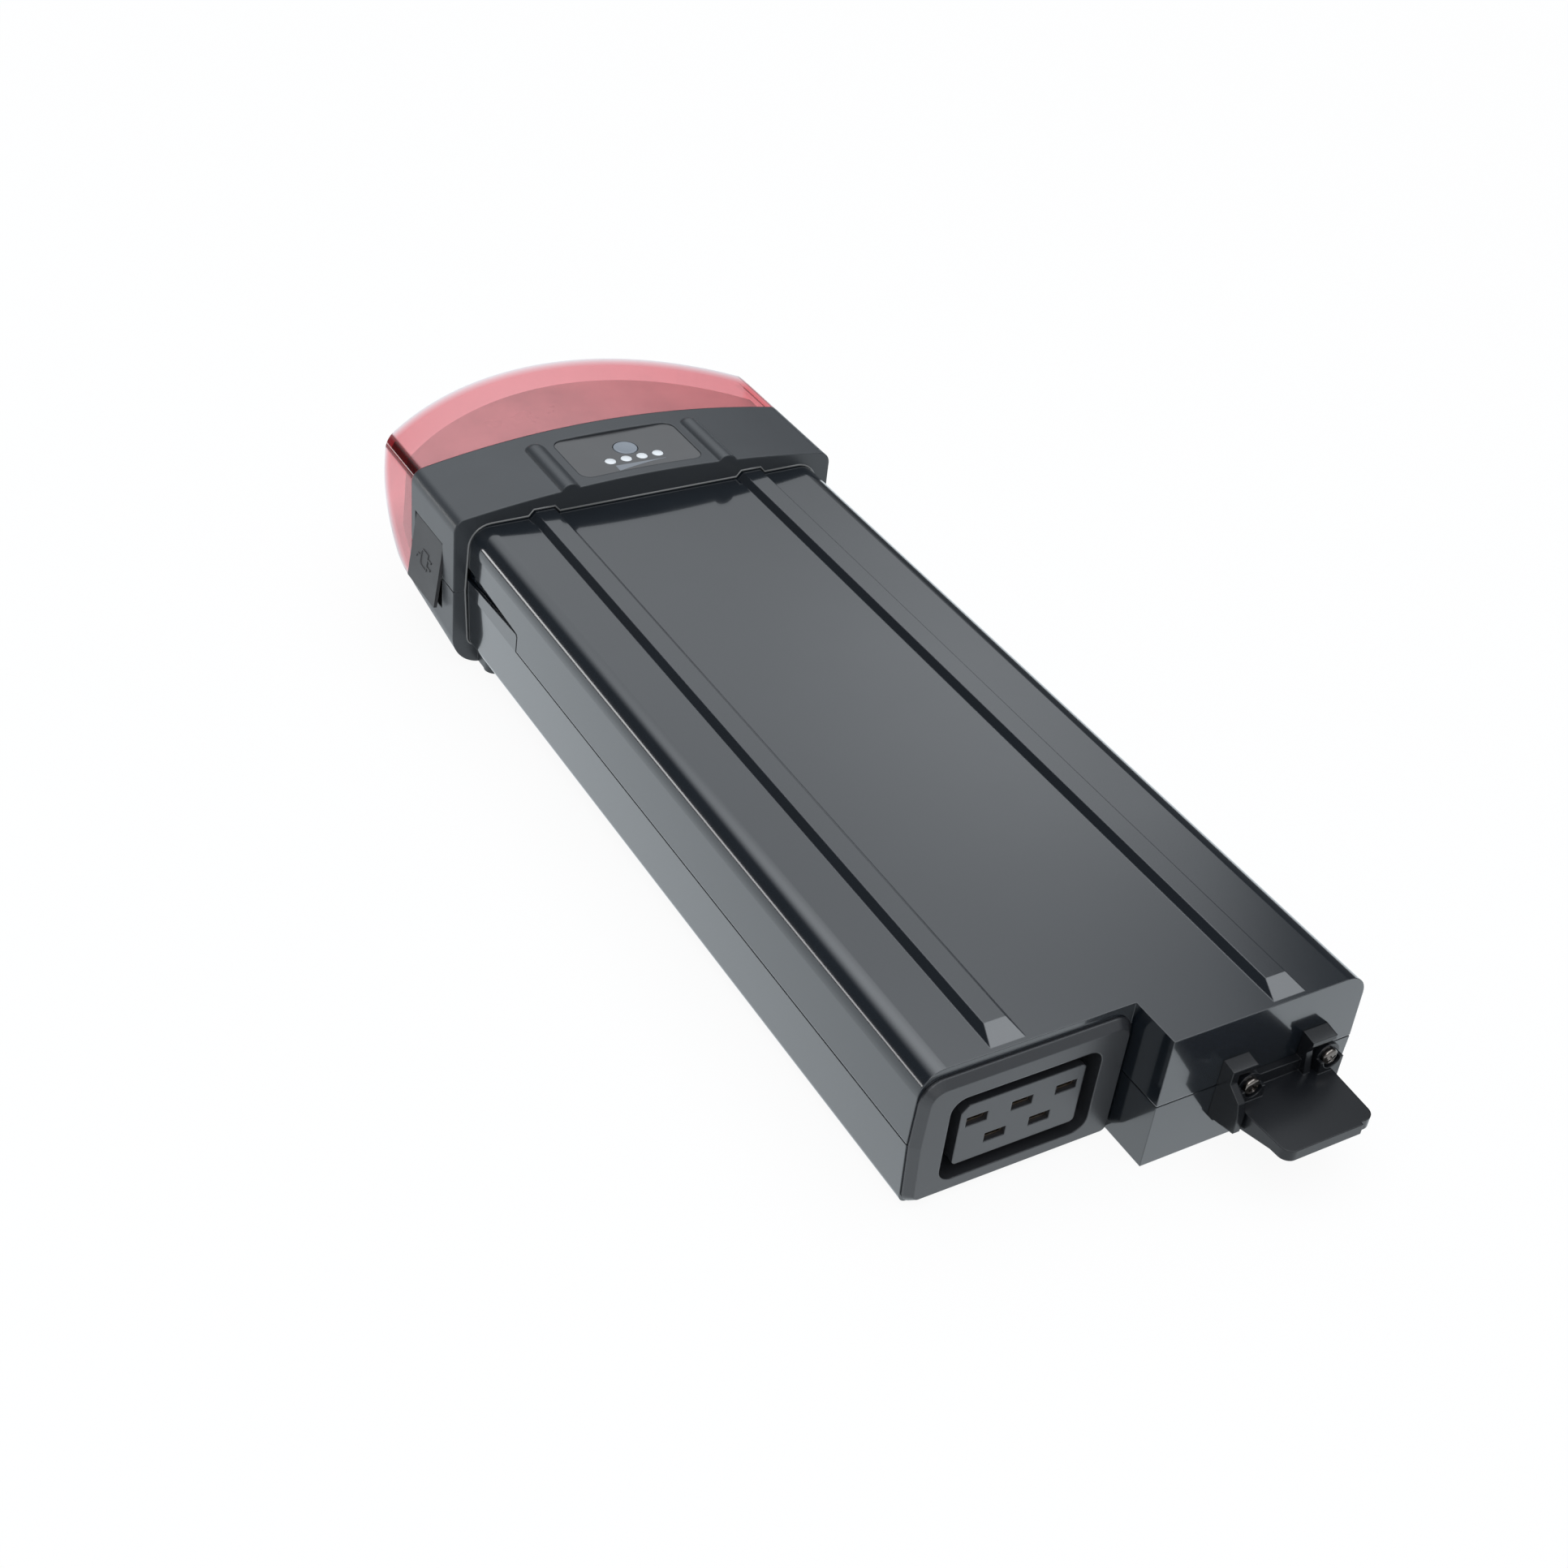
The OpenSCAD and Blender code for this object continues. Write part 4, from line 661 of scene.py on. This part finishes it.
CAP_FACE = -155                                 # X of the cap's front face
CASE_TOP, CASE_HALF_WIDTH = 48, 71
RIB_TOP, RIB_Y, RIB_FOOT, RIB_CREST = 50.25, 41.8, 5.7, 3.6     # the last two: half widths
BEAD_GAP, BEAD_R = 0.5, 0.4                     # from the case to the bead's middle, its radius


def make_opening_bead():
    """The fine bead round the opening of the cap, where the case and its ribs go in. Its light
    grey is a painted highlight line along the opening.
    """
    gap = BEAD_GAP
    top, rib_top = CASE_TOP + gap, RIB_TOP + gap
    foot, crest = RIB_FOOT + gap * 0.7, RIB_CREST + gap
    half = [(0, top), (RIB_Y - foot, top), (RIB_Y - crest, rib_top), (RIB_Y + crest, rib_top),
            (RIB_Y + foot, top)]
    half += arc(62, 40, 8 + gap, 90, 0) + [(CASE_HALF_WIDTH + gap, 23)]
    half += arc(67, 3, 3 + gap, 0, -90) + [(0, -gap)]
    points = half + [(-y, z) for y, z in half[-2:0:-1]]
    section = [(BEAD_R * math.sin(a), BEAD_R * math.cos(a))
               for a in (math.pi * k / 8 - 0.4 for k in range(11))]
    bm = bmesh.new()
    rows = []
    for i, (y, z) in enumerate(points):
        along = direction(points, i, closed=True)
        spots = ((CAP_FACE + out, y + side * along.y, z - side * along.x)
                 for out, side in section)
        rows.append([bm.verts.new(Vector(p) * MM) for p in spots])
    skin(bm, rows, closed=True)
    new_object("opening_bead", bm, bead, "battery", 50)


make_opening_bead()
make_screws()
make_button()
make_gauge()
make_plug_sign()

# ---------------------------------------------------------------- floor and light
# the case stands on the lugs at its rear and on its front edge
REAR_LUGS, FRONT_EDGE = Vector((-153.1, 0, -8.5)), Vector((155, 0, 0))
FLOOR_GAP = 0.3
FLOOR_PALE, FLOOR_PALER = (0.86, 0.865, 0.87), (0.88, 0.885, 0.89)
FLOOR_SHARE = 0.93          # how much of its look is plain white: the rest is paper with shadow
COOL = (0.88, 0.95, 1.0)    # the floor as the object's gloss shows it
SKY = (0.91, 0.955, 1.0, 1)
# patches of the tent: azimuth, rise, radius where they begin and end to fade (degrees), strength
REAR_PATCHES = (162, 45, 15, 38, 0.92), (136, 31, 3, 11, 0.42)
SIDE_PATCH = (93, 59, 8, 18, 1.4)


def make_stage():
    bm = bmesh.new()
    bmesh.ops.create_grid(bm, x_segments=1, y_segments=1, size=6)       # metres
    mesh = bpy.data.meshes.new("floor")
    bm.to_mesh(mesh)
    bm.free()
    floor = bpy.data.objects.new("floor", mesh)
    along = FRONT_EDGE - REAR_LUGS
    stand = Matrix.Translation((REAR_LUGS - Vector((0, 0, FLOOR_GAP))) * MM)
    floor.matrix_world = stand @ Matrix.Rotation(-math.atan2(along.z, along.x), 4, "Y")
    collection.objects.link(floor)

    m = Mat("floor_paper")
    m.set(Roughness=0.8, Specular_IOR_Level=0.1)
    m.feed(Base_Color=m.ramp(m.noise(scale=8), (0.3, FLOOR_PALE), (0.7, FLOOR_PALER)))
    path = m.add("ShaderNodeLightPath").outputs
    glow = m.add("ShaderNodeEmission", Strength=1.0)
    m.link(m.mix(path["Is Glossy Ray"], (1.0, 1.0, 1.0), COOL), glow.inputs["Color"])
    seen = m.math("MAXIMUM", path["Is Camera Ray"], path["Is Glossy Ray"])
    seen = m.math("MAXIMUM", seen, path["Is Transmission Ray"])
    lit = m.blend(m.math("MULTIPLY", seen, FLOOR_SHARE), m.shader, glow)
    # nothing from below, so that the underside can be looked at
    below = m.add("ShaderNodeNewGeometry").outputs["Backfacing"]
    m.out(Surface=m.blend(below, lit, m.add("ShaderNodeBsdfTransparent")))
    mesh.materials.append(m.mat)


def make_world():
    """A tent, brightest overhead, paler in front, with soft bright patches behind and beside."""
    world = bpy.data.worlds.new("tent")
    bpy.context.scene.world = world
    world.use_nodes = True
    tree = world.node_tree

    def add(kind, *sources, **values):
        node = tree.nodes.new(kind)
        for key, value in values.items():
            setattr(node, key, value)
        for socket, source in zip(node.inputs, sources):
            if isinstance(source, (int, float, tuple)):
                socket.default_value = source
            else:
                tree.links.new(source, socket)
        return node

    def calc(operation, a, b):
        return add("ShaderNodeMath", a, b, operation=operation).outputs[0]

    def dot(a, b):
        return add("ShaderNodeVectorMath", a, b, operation="DOT_PRODUCT").outputs["Value"]

    def smooth(value, low, high, out_low, out_high):
        node = add("ShaderNodeMapRange", value, low, high, out_low, out_high,
                   interpolation_type="SMOOTHSTEP")
        return node.outputs[0]

    way = add("ShaderNodeTexCoord").outputs["Generated"]
    ahead, _, height = add("ShaderNodeSeparateXYZ", way).outputs

    def patch(azimuth, rise, inner, outer, strength):
        azimuth, rise = math.radians(azimuth), math.radians(rise)
        middle = (math.cos(rise) * math.cos(azimuth), math.cos(rise) * math.sin(azimuth),
                  math.sin(rise))
        off = add("ShaderNodeMath", dot(way, middle), operation="ARCCOSINE").outputs[0]
        return smooth(off, math.radians(inner), math.radians(outer), strength, 0)

    level = smooth(height, 0.62, 0.88, 0.1, 1.6)
    level = calc("ADD", level, smooth(ahead, 0, 0.6, 0, 0.4))
    level = calc("ADD", level, patch(*SIDE_PATCH))
    rear = calc("ADD", *(patch(*spot) for spot in REAR_PATCHES))
    # its slanting edge and dimmer foot are what the rounding of the case's left side shows
    rear = calc("MULTIPLY", rear, smooth(dot(way, (-1, -1.5, 0.63)), -0.09, 0.03, 0, 1))
    rear = calc("MULTIPLY", rear, smooth(height, 0.38, 0.58, 0.5, 1))
    level = calc("ADD", level, rear)

    tent = add("ShaderNodeBackground", SKY, level)
    white = add("ShaderNodeBackground", (1, 1, 1, 1), 1.0)
    path = add("ShaderNodeLightPath").outputs
    seen = calc("MAXIMUM", path["Is Camera Ray"], path["Is Transmission Ray"])
    mixed = add("ShaderNodeMixShader", seen, tent.outputs[0], white.outputs[0])
    tree.links.new(mixed.outputs[0], tree.nodes["World Output"].inputs["Surface"])


def area(name, stand, target, size, power):
    """A rectangular lamp, lengths in metres, that the camera doesn't see, nor sees through the
    lens.
    """
    data = bpy.data.lights.new(name, "AREA")
    data.shape = "RECTANGLE"
    data.size, data.size_y = size
    data.energy = power
    o = bpy.data.objects.new(name, data)
    o.location = stand
    o.rotation_mode = "QUATERNION"
    o.rotation_quaternion = (Vector(target) - Vector(stand)).to_track_quat("-Z", "Y")
    o.visible_camera = o.visible_transmission = False
    collection.objects.link(o)


make_stage()
make_world()
area("front_panel", stand=(1.4, -1.2, 1.7), target=(0, 0, 0), size=(1.2, 1.2), power=9)
area("edge_strip", stand=(-1.07, -1.18, 0.17), target=(0, 0, 0.03), size=(1.1, 0.14), power=2.2)

bpy.context.scene.view_settings.view_transform = "Standard"
